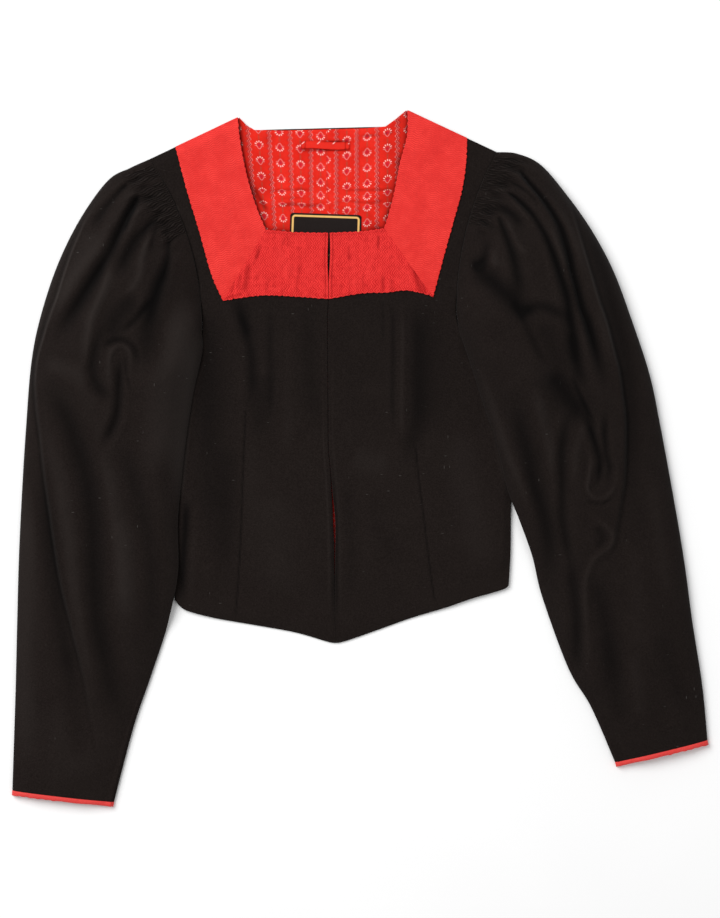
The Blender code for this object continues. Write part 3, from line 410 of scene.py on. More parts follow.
# Collar band edges: beside the neck from the shoulder down, outer side, and across the front to the centre
BAND_NECK_EDGES = {
    "right": ((-128.5, 357), (-125, 326.6), (-117.6, 291), (-108, 260.4), (-99, 238.5)),
    "left": ((50, 364.5), (49.4, 337), (42, 308.7), (35.3, 275), (28.4, 249), (25.4, 240)),
}
BAND_OUTER_EDGES = {
    "right": ((-193.8, 326), (-181.7, 279.8), (-169, 237.8), (-155.8, 191.1), (-143.9, 163.8)),
    "left": ((112.4, 335.3), (111.3, 308.7), (107.1, 279.8), (99.3, 251), (88.2, 211), (77, 167.5)),
}
BAND_UPPER_EDGES = {
    "right": ((-99, 238.5), (-68.3, 235.8), (-34.2, 235.2)),
    "left": ((25.4, 240), (2.1, 236.8), (-30.2, 235.2)),
}
BAND_LOWER_EDGES = {
    "right": ((-143.9, 163.8), (-104, 169.4), (-68, 168.2), (-34.9, 165.9)),
    "left": ((77, 167.5), (70, 170.5), (48.3, 174.8), (28.4, 172.6), (2.1, 171.6), (-32.1, 165.9)),
}
# How far the band hangs over the neck edge of the wool, and what the mitred strips leave between them
BAND_OVERHANG = 2.4
MITRE_SHIFT = 0.3
# Share of a strip's rows that its start takes, where a side strip turns down into the shoulder seam
STRIP_START = 0.07
# Rows and columns of points on the side strips and on the strips across the front
SIDE_GRID = (150, 34)
ACROSS_GRID = (100, 44)
# Scallops of the band's woven edges, and the puckers along its lower edge
SCALLOP_PITCH = 5.8
SCALLOP_DEPTH = 0.55
PUCKER_PITCH = 13.0
PUCKER_HEIGHT = 0.7

# Grid of the fronts and the back: shares down the armhole, and columns beside the neck and below it
NECK_LEVEL = 0.415
ARMHOLE_ROWS = (0.55, 0.7, 0.85, 1.0)
STRAP_COLUMNS = 7
CENTRE_COLUMNS = 5
# Rows beside the neck, as shares down the armhole and down the neck edge
STRAP_ROWS = ((0.15, 0.3), (0.24, 0.53), (0.33, 0.77), (NECK_LEVEL, 1))
# Distance between points down the fronts, and into how many steps each column of their grid is cut
FRONT_STEP = 2.2
FRONT_STEPS = [6] + [10] * (STRAP_COLUMNS - 1) + [8] * (CENTRE_COLUMNS - 1) + [7]
# The centre front edges lie within this distance of this x
CENTRE_X = -30
CENTRE_REACH = 7
# Shares down the armhole and across the body at which the back has rows and columns
BACK_ROWS = (0, 0.14, 0.28, NECK_LEVEL, *ARMHOLE_ROWS)
BACK_COLUMNS = (0.0, 0.12, 0.38, 0.5, 0.62, 0.88, 1.0)
# The straight part of the back of the neck
NECK_SPAN = (-105, 20)
# Rows of the back and its lining down to the neck's lower edge, and how far apart the points are below
ROWS_AT_NECK = 3
HIDDEN_STEP = 4.5
# Fullness of each front above its dart, as (centre x, half width), and the y between which it comes and goes
FULLNESS = {"right": (-122.0, 38.0), "left": (54.0, 44.0)}
FULLNESS_HEIGHT = 1.6
FULLNESS_TOP = (148, 103)
FULLNESS_FOOT = (-60, 10)

# Label and hanger loop on the lining
LABEL_CENTRE = (-36.5, 232.5)
LABEL_SIZE = (75, 46)
LABEL_TILT = math.radians(-2.0)
LABEL_CORNER = 3.0
LOOP_CENTRE = (-36.5, 327.4)
LOOP_SIZE = (51, 8.2)
LOOP_RISE = 0.8
LOOP_ROWS = (0.5, 0.47, 0.43, *np.linspace(0.36, -0.36, 7), -0.43, -0.47, -0.5)
# Where the loop is sewn down, as a share of its length, and how far from its middle its edge stitches run
LOOP_SEWN = 0.085
LOOP_STITCH = 0.34

# Ribs of the side bands, threads and small diamonds of the front ones, and flowers and zigzags of the lining
RIB_PITCH = 2.15
ZIGZAG_LENGTH = 9.0
ZIGZAG_HEIGHT = 1.9
THREAD_PITCH = 2.5
THREAD_LENGTH = 9.0
THREAD_SWING = 4.0
DIAMOND_SIZE = (8.8, 10.0)
BAND_DIRECTIONS = {"right": (40, -140), "left": (-30, -146)}
PRINT_COLUMN = 21.3
PRINT_ROW = 16.3
PRINT_TOP = 327.6
# Folds that hide a part of the print, as (upper y, lower y, length hidden)
PRINT_FOLDS = ((282.5, 279.5, 2.8), (269.0, 265.0, 4.6))
# The pleat between the two halves of the print, and the first column of each half
PLEAT_X = -35.2
FIRST_COLUMNS = (-41.4, -13.9)
ZIGZAGS_A_ROW = 3.0
ZIGZAG_SWING = 2.6

# Soft light, and the camera straight above at the photograph's frame
WORLD_LIGHT = 0.5
LIGHTS = (
    ("key", (-1.8, 1.5, 2.8), 2.8, 115),
    ("fill", (1.6, 0.2, 3.0), 2.0, 10),
)
CAMERA_PLACE = (-0.00025, -0.0008, 2.506)
CAMERA_LENS = 93.37

# What each cloth piece is: slot, flat size and flat area in metres, what it lies on and how it is held
SHEETS = {
    "back": ("black_wool", (0.41, 0.52), 0.164, (), "laid"),
    "back_lining": ("red_lining", (0.39, 0.49), 0.139, ("back",), "laid"),
    "label": ("label_weave", (0.075, 0.046), None, ("back_lining",), "laid"),
    "hanger_loop": ("red_lining", (0.053, 0.01), 0.0004, ("back_lining",), "laid"),
    "front_right": ("black_wool", (0.20, 0.53), 0.0749, ("back", "back_lining"), "laid"),
    "front_left": ("black_wool", (0.21, 0.54), 0.0805, ("back", "back_lining", "label"), "laid"),
    "collar_side_right": ("red_band", (0.068, 0.19), 0.0101, ("front_right",), "laid"),
    "collar_side_left": ("red_band", (0.068, 0.185), 0.0104, ("front_left",), "laid"),
    "collar_front_right": ("red_band", (0.11, 0.073), 0.0061, ("front_right",), "laid"),
    "collar_front_left": ("red_band", (0.11, 0.073), 0.0056, ("front_left",), "laid"),
    "sleeve_right": ("black_wool", (0.47, 0.71), 0.212, ("front_right",), "gathered"),
    "sleeve_left": ("black_wool", (0.46, 0.69), 0.206, ("front_left",), "gathered"),
    "cuff_binding_right": ("red_band", (0.24, 0.01), 0.0014, ("sleeve_right",), "laid"),
    "cuff_binding_left": ("red_band", (0.22, 0.01), 0.0013, ("sleeve_left",), "laid"),
}


def smooth_step(value):
    value = np.clip(value, 0.0, 1.0)
    return value * value * (3.0 - 2.0 * value)


def bell(value, centre=0.0, width=1.0):
    """1 at the centre, with a smooth fall on both sides."""
    return np.exp(-(((value - centre) / width) ** 2))


def from_end(share):
    return np.minimum(share, 1 - share)


def lerp(first, second, share):
    first, second = np.asarray(first, float), np.asarray(second, float)
    return first + (second - first) * share


def cubic(start, end, slope_in, slope_out, share):
    """The point at a share of a curve with these ends and these slopes there."""
    square, cube = share**2, share**3
    return (
        (2 * cube - 3 * square + 1) * start
        + (cube - 2 * square + share) * slope_in
        + (3 * square - 2 * cube) * end
        + (cube - square) * slope_out
    )


def between_rows(rows, position):
    """The numbers of a table at a place between its rows, on a smooth curve through them."""
    numbers = np.array(rows, float)
    last = len(numbers) - 1
    low = min(int(position), last - 1)
    before, start, end, after = numbers[[max(low - 1, 0), low, low + 1, min(low + 2, last)]]
    return cubic(start, end, (end - before) / 2, (after - start) / 2, position - low)


def curve_along(points, pieces=6):
    """Points on a smooth curve through all of the given ones."""
    places = np.linspace(0, len(points) - 1, (len(points) - 1) * pieces + 1)
    return np.array([between_rows(points, place) for place in places])


def step_lengths(line):
    return np.hypot(*np.diff(np.array(line, float), axis=0).T)


def nearest_on(line, points):
    """Distance of each point from a polyline, share along it and side: +1 to the left of its direction."""
    best = np.full(len(points), np.inf)
    along, side = np.zeros((2, len(points)))
    pieces = len(line) - 1
    for index in range(pieces):
        start, run = line[index], line[index + 1] - line[index]
        offset = points - start
        share = np.clip(offset @ run / max(run @ run, 1e-9), 0, 1)
        distance = np.hypot(*(offset - share[:, None] * run).T)
        closer = distance < best
        best = np.where(closer, distance, best)
        along = np.where(closer, (index + share) / pieces, along)
        side = np.where(closer, np.sign(run[0] * offset[:, 1] - run[1] * offset[:, 0]), side)
    return best, along, side


def inside_depth(outline, points):
    """How far each point lies inside a closed outline; negative outside."""
    closed = np.array([*outline, outline[0]], float)
    distance, _, _ = nearest_on(closed, points)
    inside = np.zeros(len(points), bool)
    for start, end in zip(closed[:-1], closed[1:]):
        crosses = (start[1] > points[:, 1]) != (end[1] > points[:, 1])
        height = end[1] - start[1] or 1e-9
        edge_x = start[0] + (points[:, 1] - start[1]) * (end[0] - start[0]) / height
        inside ^= crosses & (points[:, 0] < edge_x)
    return np.where(inside, distance, -distance)


def fold_height(folds, points, outward=1.0):
    """What a table of folds adds to the cloth, and the shade and light it paints on it, from -1 dark to 1
    light.
    """
    height, tone = np.zeros((2, len(points)))
    for _, kind, half_width, depth, shade, *line in folds:
        curve = curve_along(np.reshape(line, (-1, 2)))
        reach = STEP_REACH if kind == "step" else 5 * half_width
        low, high = curve.min(axis=0) - reach, curve.max(axis=0) + reach
        near = np.flatnonzero(np.all((points > low) & (points < high), axis=1))
        if not len(near):
            continue
        distance, along, turn = nearest_on(curve, points[near])
        reached = distance / half_width
        if kind == "step":
            past = -turn * outward * reached
            taper = np.sqrt(np.clip(np.sin(math.pi * along), 0, 1))
            rise = depth * taper * (0.2 * bell(past, -1.3) - smooth_step(0.5 + past / 2))
            light = -shade * taper * bell(past, 1, 0.9)
        elif kind == "seam":
            taper = smooth_step(from_end(along) / 0.04)
            rise, light = -depth * taper * bell(reached), -shade * taper * bell(reached)
        else:
            sign = 1 if kind == "ridge" else -1
            taper = smooth_step(along / 0.22) * smooth_step((1 - along) / 0.28)
            if kind == "gather":
                reached = reached / (0.45 + along)
                taper = smooth_step(along / 0.08) * smooth_step((1 - along) / 0.3)
            lips = bell(reached, 2.1, 0.9)
            profile = 0.6 * bell(reached) + 0.4 * np.exp(-1.9 * reached) - 0.18 * lips
            rise = sign * 0.7 * depth * taper * profile
            light = sign * shade * taper * (bell(reached) - 0.12 * lips)
        height[near] += rise
        tone[near] += light
    return height, tone


def undulation(points, scale=1.0):
    """Slight unevenness of lying cloth, between about -1 and 1."""
    x, y = points[:, 0] * scale, points[:, 1] * scale
    total = np.zeros(len(points))
    for across, along, phase, share in WAVES:
        bend = 1.7 * np.sin(x * along * 0.61 + y * across * 0.47 + phase * 2)
        total += share * np.sin(x * across + y * along + phase + bend)
    return total


def superellipse(across, power):
    return np.clip(1 - np.abs(2 * np.asarray(across) - 1) ** power, 0, 1) ** (1 / power)


def to_object(name, points, faces, material, tone=None):
    """A smooth-shaded object from points in millimetres, with the shade and light painted on its folds if
    there is any.
    """
    mesh = bpy.data.meshes.new(name)
    placed = (np.asarray(points, float) + PLAN_SHIFT) * MM
    mesh.from_pydata([tuple(point) for point in placed], [], [tuple(face) for face in faces])
    work = bmesh.new()
    work.from_mesh(mesh)
    bmesh.ops.recalc_face_normals(work, faces=work.faces)
    work.to_mesh(mesh)
    work.free()
    mesh.polygons.foreach_set("use_smooth", [True] * len(mesh.polygons))
    mesh.materials.append(material)
    if tone is not None:
        mesh.attributes.new("tone", "FLOAT", "POINT").data.foreach_set("value", np.clip(tone, -1, 1))
    piece = bpy.data.objects.new(name, mesh)
    bpy.context.scene.collection.objects.link(piece)
    return piece


# Sleeves


def sleeve_sections(side, stations):
    """Outer points, runs to the inner ones, directions towards the body, bows and crowns of the sections."""
    rows = np.array([between_rows(SLEEVES[side], station) for station in stations])
    outer, run = rows[:, 0:2], rows[:, 2:4] - rows[:, 0:2]
    towards = np.column_stack((-run[:, 1], run[:, 0])) / np.hypot(*run.T)[:, None] * SIDE_OF[side]
    return outer, run, towards, rows[:, 4], rows[:, 5]


def section_plan(sections, across):
    """Plan points of the sections at shares across them, as rings by columns."""
    outer, run, towards, bow, _ = sections
    across = np.broadcast_to(across, (len(outer), np.shape(across)[-1]))
    bowed = (bow[:, None] * 4 * across * (1 - across))[..., None]
    return outer[:, None] + run[:, None] * across[..., None] + towards[:, None] * bowed


def edge_insets(side, stations, wall):
    """Shares of the sections by which the hollow stays inside the folded edges, more where they slant."""
    near = np.clip(stations, 0.05, LAST_STATION - 0.05)
    before, after = (section_plan(sleeve_sections(side, near + step), [0.0, 1.0]) for step in (-0.05, 0.05))
    sections = sleeve_sections(side, stations)
    insets = []
    for end, step in ((0, 0.02), (1, -0.02)):
        edge = after[:, end] - before[:, end]
        pair = section_plan(sections, [end, end + step])
        chord = pair[:, 1] - pair[:, 0]
        slant = np.abs(edge[:, 0] * chord[:, 1] - edge[:, 1] * chord[:, 0])
        slant /= np.hypot(*edge.T) * np.hypot(*chord.T)
        insets.append((wall / np.maximum(slant, LEAST_SLANT) / np.hypot(*sections[1].T))[:, None])
    return insets


def sleeve_lift(side, points):
    """Height at which the sleeve's underside lies: on the surface, or on the fronts where it covers them."""
    inward = 120 * SIDE_OF[side]
    top, *edge = SLEEVES[side][0][2:4], *SIDE_EDGES[side]
    body = [top, *edge, (edge[-1][0] + inward, edge[-1][1]), (top[0] + inward, top[1])]
    return SLEEVE_LIFT * smooth_step(1 + (inside_depth(body, points) + LIFT_FULL_OUTSIDE) / LIFT_RAMP)


def over_rings(function, plan):
    """A function of plan points, worked out for a whole grid of them."""
    return function(plan.reshape(-1, 2)).reshape(plan.shape[:2])


def gathers(side, stations):
    """What the shirred pleats and the short folds out of them add to the upper cloth, and the shade and
    light painted on them.
    """
    station, across = np.broadcast_arrays(stations[:, None], UPPER)
    phase = (across - PLEAT_FIRST) / (PLEAT_LAST - PLEAT_FIRST) * PLEATS
    sway = np.sin(TAU * station / 0.85 + phase * 0.8)
    shifted = phase + 0.3 * sway * smooth_step(station / 0.2)
    number = np.floor(shifted)
    fade_end = 1.6 + 0.28 * np.sin(number * 2.3 + 1)
    share = 1 - smooth_step((station - PLEAT_FADE_START) / (fade_end - PLEAT_FADE_START))
    reach = smooth_step((across - PLEAT_FIRST) / 0.01) * smooth_step((PLEAT_LAST - across) / 0.015)
    centre, half_width = PLAIN_GAP[side]
    reach = reach * (1 - 0.85 * np.exp(-(((across - centre) / half_width) ** 4)))
    uneven = 0.8 + 0.25 * np.sin(number * 3.7 + 0.5)
    dashes = 0.76 + 0.24 * np.sin(TAU * station / STITCH_ROW + number * 2.4)
    bulge = np.abs(np.sin(math.pi * shifted)) ** 0.8 * dashes * uneven
    height = PLEAT_HEIGHT * (2 * bulge - 0.8) * share * reach
    # Painted shade between the pleats and painted light on their crests
    tone = PLEAT_TONE * (1.5 * bulge - 0.85) * share * reach * smooth_step(station / 0.15)
    width = np.hypot(*sleeve_sections(side, stations)[1].T)[:, None]
    for centre, half_width, depth, last in RELEASE_FOLDS[side]:
        centre = centre + 0.012 * np.sin(station * 1.8 + centre * 40)
        spread = half_width * (0.8 + 0.35 * station)
        run = smooth_step((station - 0.55) / 0.5) * smooth_step((last - station) / (0.55 * last))
        shape = bell((across - centre) * width, 0, spread)
        lip = bell(np.abs(across - centre) * width / spread, 2, 0.8)
        height = height - depth * run * (shape - 0.25 * lip)
        # Painted shade in the short folds
        tone = tone - RELEASE_TONE * depth / half_width * run * (shape - 0.3 * lip)
    return height, tone


def sleeve_rings(side, stations, wall=0.0):
    """Closed sections of the sleeve tube, rings by columns by four: the upper cloth, then the underside.

    The fourth number is the shade and light painted into the colour. With a wall thickness they are the
    sections of the hollow inside.
    """
    stations = np.asarray(stations, float)
    sections = sleeve_sections(side, stations)
    start, end = edge_insets(side, stations, wall)
    outer_plan = section_plan(sections, UPPER)
    top_plan, low_plan = (section_plan(sections, across + start * (1 - across) ** 8 - end * across**8)
                          for across in (UPPER, LOWER))
    lift, low_lift = (over_rings(lambda points: sleeve_lift(side, points), plan)
                      for plan in (top_plan, low_plan))
    low = low_lift + wall + (SLEEVE_EDGE - wall) * (1 - superellipse(LOWER, UNDERSIDE_POWER))
    # Full on the outer side, with a gentler fall to the inner edge
    dome = np.clip(1 - np.abs(2 * UPPER - 1) ** DOME_POWER, 0, 1)
    dome = np.where(UPPER < 0.5, dome ** (1 / DOME_POWER), dome**INNER_SLOPE)
    top = lift + SLEEVE_EDGE + (sections[4][:, None] - wall - SLEEVE_EDGE) * dome
    cuff_share = smooth_step((LAST_STATION - stations) / FOLDS_RAMP)[:, None]
    head_share = smooth_step((stations - FOLDS_START) / FOLDS_RAMP)[:, None]
    folds, tone = (part.reshape(outer_plan.shape[:2]) for part in
                   fold_height(SLEEVE_FOLDS[side], outer_plan.reshape(-1, 2), SIDE_OF[side]))
    waves = over_rings(lambda at: 0.9 * undulation(at, 0.55) + 0.35 * undulation(at, 1.6), outer_plan)
    inner = superellipse(UPPER, 2.0)
    top = top + (folds * cuff_share * head_share + waves * (0.25 + 0.75 * cuff_share)) * inner
    shirred, shirred_tone = gathers(side, stations)
    top = top + shirred * smooth_step(inner * 4)
    # Painted shade and light of the folds and pleats, painted shade over the whole left sleeve, then painted
    # light towards both folded edges of the upper cloth
    tone = tone * head_share + shirred_tone - SLEEVE_SHADE[side]
    tone = RIM_LIGHT[side] + (tone - RIM_LIGHT[side]) * smooth_step(inner * 5)
    least = lift + 2 * WOOL + LEAST_HOLLOW - wall
    top = np.where((UPPER > 0.02) & (UPPER < 0.98), np.maximum(top, least), top)
    return np.concatenate((np.dstack((top_plan, top, tone)), np.dstack((low_plan, low, low * 0))), axis=1)


def tube_faces(rings):
    """Faces between closed rings, each as {column: point index}; a later ring may have fewer columns."""
    faces = []
    for first, second in zip(rings[:-1], rings[1:]):
        columns, fuller = list(second), list(first)
        place_of = {column: place for place, column in enumerate(fuller)}
        for column, following in zip(columns, columns[1:] + columns[:1]):
            stop = place_of[following] if following != columns[0] else len(fuller)
            run = [first[fuller[place % len(fuller)]] for place in range(place_of[column], stop + 1)]
            faces.append(run + [second[following], second[column]])
    return faces


def tube(name, outside, inside, fine_rings, rounding, material):
    """A closed tube wall: outer rings, a rounded rim at each end and inner rings back to the start."""
    rims = []
    for end, before in ((-1, -2), (0, 1)):
        onward = outside[end].mean(axis=0) - outside[before].mean(axis=0)
        rims.append((outside[end] + inside[end]) / 2 + rounding * onward / np.linalg.norm(onward))
    points, rings = [], []
    for number, ring in enumerate([*outside, rims[0], *inside[::-1], rims[1]]):
        columns = list(ALL_COLUMNS) if number < fine_rings else KEPT_COLUMNS
        rings.append({column: len(points) + place for place, column in enumerate(columns)})
        points.extend(ring[columns])
    faces = tube_faces(rings) + [face[::-1] for face in tube_faces([rings[0], rings[-1]])]
    points = np.array(points)
    return to_object(name, points[:, :3], faces, material, points[:, 3])


def sleeve(side, material):
    outside = sleeve_rings(side, [*FINE_STATIONS, *PLAIN_STATIONS])
    inside = sleeve_rings(side, [*FINE_STATIONS[::6], *PLAIN_STATIONS[::3], LAST_STATION], WOOL)
    return tube("sleeve_cloth_" + side, outside, inside, len(FINE_STATIONS), 0.7, material)


def cuff_binding(side, material):
    """A rounded red binding that carries on from the end of the sleeve."""
    plain, hollow = (sleeve_rings(side, [LAST_STATION], wall)[0] for wall in (0.0, BINDING_WALL))
    row = SLEEVES[side][-1]
    run = np.array(row[2:4], float) - np.array(row[0:2], float)
    onward = np.array((run[1], -run[0], 0, 0)) / np.hypot(*run) * SIDE_OF[side]
    count = len(UPPER)
    wave = 0.35 * np.sin(np.linspace(0, 46, count)) + 0.25 * np.sin(np.linspace(1, 19, count))
    outside = []
    for distance, swell in BINDING_RINGS:
        ring = plain + onward * distance
        ring[:count, 2] += swell
        ring[:count, :2] += onward[:2] * wave[:, None] * distance / 5
        outside.append(ring)
    inside = [hollow + onward * distance for distance in (0.35, 2.5, 5.1)]
    return tube("cuff_piping_" + side, outside, inside, 0, 0.35, material)


# Flat pieces


def armhole_edge(side, across):
    """The panels' armhole edge: the sleeve's first section, moved in by the seam gap."""
    plan = section_plan(sleeve_sections(side, [0]), [across])
    return plan[0, 0] + np.array((SIDE_OF[side] * ARMHOLE_GAP, 0))


def along_line(line, share):
    """The point at a share of a broken line's length."""
    reached = np.concatenate(([0], np.cumsum(step_lengths(line))))
    return np.array([np.interp(share * reached[-1], reached, values) for values in np.array(line, float).T])


def shoulder_line(side):
    """Tip of the shoulder and the direction from it down into the body, square to the seam."""
    tip = armhole_edge(side, 0)
    along = np.array(BAND_NECK_EDGES[side][0]) - tip
    along = along / np.hypot(*along)
    return tip, np.array((along[1], -along[0])) * SIDE_OF[side]


def turned_share(side, point_at):
    """Share at which an edge, given as a function of its share, leaves the turn of the shoulder seam."""
    tip, into = shoulder_line(side)
    shares = np.linspace(0, 0.4, 121)
    return float(np.interp(SEAM_TURN, [(point_at(share) - tip) @ into for share in shares], shares))


def front_under(side, points):
    """Height of a front's underside: low at the shoulder seam, and full over the dart's end."""
    tip, into = shoulder_line(side)
    turn = smooth_step((points - tip) @ into / SEAM_TURN)
    fade = 1.0
    for start, whole in (FULLNESS_TOP, FULLNESS_FOOT):
        fade = smooth_step((points[:, 1] - start) / (whole - start)) * fade
    centre, half_width = FULLNESS[side]
    bump = np.clip(1 - ((points[:, 0] - centre) / half_width) ** 2, 0, None) ** 2
    return SEAM_UNDER + (FRONT_UNDER - SEAM_UNDER) * turn + FULLNESS_HEIGHT * fade * bump


def back_hem_y(x):
    """The back's hem line, which the fronts' point passes."""
    right, left = SIDE_EDGES["right"][-1], SIDE_EDGES["left"][-1]
    share = (x - right[0]) / (left[0] - right[0])
    return right[1] + (left[1] - right[1]) * share - BACK_HEM_DROP * 4 * share * (1 - share)


def over_back_hem(above, hem):
    """The point between two just past the back's hem, so that the cloth stays clear of its edge."""
    share = (above[1] - (back_hem_y(hem[0]) - 4)) / (above[1] - hem[1])
    return lerp(above, hem, min(max(share, 0.3), 0.85))


def seamed_row(start, stop, columns, last_step=None):
    """Points of a row whose first step is the turn of the side seam and whose last may be a folded edge."""
    length = np.hypot(*(np.asarray(stop) - np.asarray(start)))
    if last_step is None:
        shares = [0.0, *np.linspace(SEAM_TURN / length, 1.0, columns)]
    else:
        shares = [0.0, *np.linspace(SEAM_TURN / length, 1.0 - last_step / length, columns - 1), 1.0]
    return [lerp(start, stop, share) for share in shares]


def front_rows(side):
    """Plan points of one front: rows beside the neck, then rows to the centre edge, then the hem."""
    centre = [np.array(point, float) for point in FRONT_EDGES[side]]
    under_band = np.array((-BAND_OVERHANG * SIDE_OF[side], -BAND_OVERHANG))

    def neck_edge(share):
        return along_line(BAND_NECK_EDGES[side], share) + under_band * smooth_step(share * 8)

    def armhole(share):
        return armhole_edge(side, share)

    turns = turned_share(side, armhole), turned_share(side, neck_edge)
    strap = ((0, 0), turns, *STRAP_ROWS)
    rows = [seamed_row(armhole(outer), neck_edge(inner), STRAP_COLUMNS) for outer, inner in strap]
    corner = rows[-1][-1]
    last_share = 1 - FRONT_EDGE_TURN / np.hypot(*(centre[0] - corner))
    shares = (*np.linspace(0, last_share, CENTRE_COLUMNS)[1:], 1)
    rows[-1] += [lerp(corner, centre[0], share) for share in shares]
    outer = [armhole(share) for share in ARMHOLE_ROWS] + list(SIDE_EDGES[side])
    for start, stop in zip(outer, centre[1:]):
        rows.append(seamed_row(start, stop, STRAP_COLUMNS + CENTRE_COLUMNS, FRONT_EDGE_TURN))
    hem = np.array(sorted(HEMS[side]), float)
    for point in rows[-1]:
        point[1] = np.interp(point[0], hem[:, 0], hem[:, 1])
    rows.insert(-1, [over_back_hem(*pair) for pair in zip(rows[-2], rows[-1])])
    return rows


def hermite(before, start, end, after, share):
    """A point between two others on a curve whose slopes allow for uneven spacing."""
    points = (before, start, end, after)
    first, middle, last = (max(np.hypot(*(b - a)[:2]), 1e-6) for a, b in zip(points, points[1:]))
    slope_in = slope_out = run = end - start
    if before is not start:
        slope_in = middle * ((start - before) / first * middle + run / middle * first) / (first + middle)
    if after is not end:
        slope_out = middle * (run / middle * last + (after - end) / last * middle) / (middle + last)
    return cubic(start, end, slope_in, slope_out, share)


def finer(rows, down, across):
    """The rows with more points: down and across say into how many steps each step of the grid is cut.

    Rows may be shorter above than below. Curves run smoothly down the columns and straight across the rows.
    """
    rows = [[np.asarray(point, float) for point in row] for row in rows]
    tall = []
    for number, row in enumerate(rows[:-1]):
        tall.append(row)
        for step in range(1, down[number]):
            new = []
            for column, (start, end) in enumerate(zip(row, rows[number + 1])):
                before = rows[number - 1][column] if number > 0 and column < len(rows[number - 1]) else start
                after = rows[number + 2][column] if number + 2 < len(rows) else end
                new.append(hermite(before, start, end, after, step / down[number]))
            tall.append(new)
    tall.append(rows[-1])
    wide = []
    for row in tall:
        points = [row[0]]
        for start, end, steps in zip(row[:-1], row[1:], across):
            points += [lerp(start, end, step / steps) for step in range(1, steps + 1)]
        wide.append(points)
    return wide


def grid_faces(numbers):
    """Faces of a grid of point numbers in which a row may be shorter than the one below it."""
    faces = []
    for above, below in zip(numbers[:-1], numbers[1:]):
        for column in range(min(len(above), len(below)) - 1):
            faces.append([above[column], below[column], below[column + 1], above[column + 1]])
    return faces


def numbered(rows):
    """The rows' points in one array, and the number of each point in its row."""
    numbers, count = [], 0
    for row in rows:
        numbers.append(list(range(count, count + len(row))))
        count += len(row)
    return np.array([point for row in rows for point in row], float), numbers


def boundary_loop(faces):
    """Point numbers round the outline of a grid, in the direction of its faces."""
    edges = {(a, b) for face in faces for a, b in zip(face, face[1:] + face[:1])}
    onward = {a: b for a, b in edges if (b, a) not in edges}
    loop = [min(onward)]
    while onward[loop[-1]] != loop[0]:
        loop.append(onward[loop[-1]])
    return loop


def cloth(name, plan, numbers, under, top, material, rounding, tone=None):
    """A closed layer of cloth over a plan grid, between two heights, with a rounded edge all round."""
    faces = grid_faces(numbers)
    first = plan[faces[0]]
    if sum(a[0] * b[1] - a[1] * b[0] for a, b in zip(first, np.roll(first, -1, axis=0))) < 0:
        faces = [face[::-1] for face in faces]
    loop = boundary_loop(faces)
    edge = plan[loop]
    ahead = np.roll(edge, -1, axis=0) - edge
    ahead /= np.hypot(*ahead.T)[:, None]
    behind = np.roll(ahead, 1, axis=0)
    inward = np.column_stack((-ahead[:, 1] - behind[:, 1], ahead[:, 0] + behind[:, 0]))
    inward /= np.maximum(1 + (ahead * behind).sum(axis=1), 0.35)[:, None]
    plan = plan.copy()
    plan[loop] = edge + inward * rounding
    middle, half = (top[loop] + under[loop]) / 2, (top[loop] - under[loop]) / 2
    levels = []
    for angle in map(math.radians, (45, 0, -45)):
        levels.append(np.column_stack((edge + inward * (rounding * (1 - math.cos(angle))),
                                       middle + half * math.sin(angle))))
    count, rim = len(plan), len(loop)
    points = np.vstack((np.column_stack((plan, top)), np.column_stack((plan, under)), *levels))
    chain = [loop] + [[2 * count + level * rim + place for place in range(rim)] for level in range(3)]
    chain.append([index + count for index in loop])
    faces = faces + [[index + count for index in face[::-1]] for face in faces]
    for high, low in zip(chain[:-1], chain[1:]):
        for place in range(rim):
            after = (place + 1) % rim
            faces.append([high[after], high[place], low[place], low[after]])
    if tone is not None:
        tone = np.concatenate((tone, np.zeros(len(points) - count)))
    return to_object(name, points, faces, material, tone)


def meet(plan, edge, side, gaps, reach):
    """Brings a centre edge to its side of the gap between the two fronts, and the cloth beside it along."""
    edge = edge[np.argsort(edge[:, 1])]
    heights, middles, widths = np.array(gaps[::-1], float).T
    now = np.interp(plan[:, 1], edge[:, 1], edge[:, 0])
    wanted = np.interp(plan[:, 1], heights, middles - SIDE_OF[side] * widths / 2)
    plan[:, 0] += (wanted - now) * smooth_step(1 - np.abs(plan[:, 0] - now) / reach)


def sleeve_cover(side):
    """Outline in plan of the sleeve's inner part, where it lies over the fronts."""
    edges = section_plan(sleeve_sections(side, np.linspace(0, 9, 19)), [1.0, 0.3])
    return np.vstack((edges[:, 0], edges[::-1, 1]))


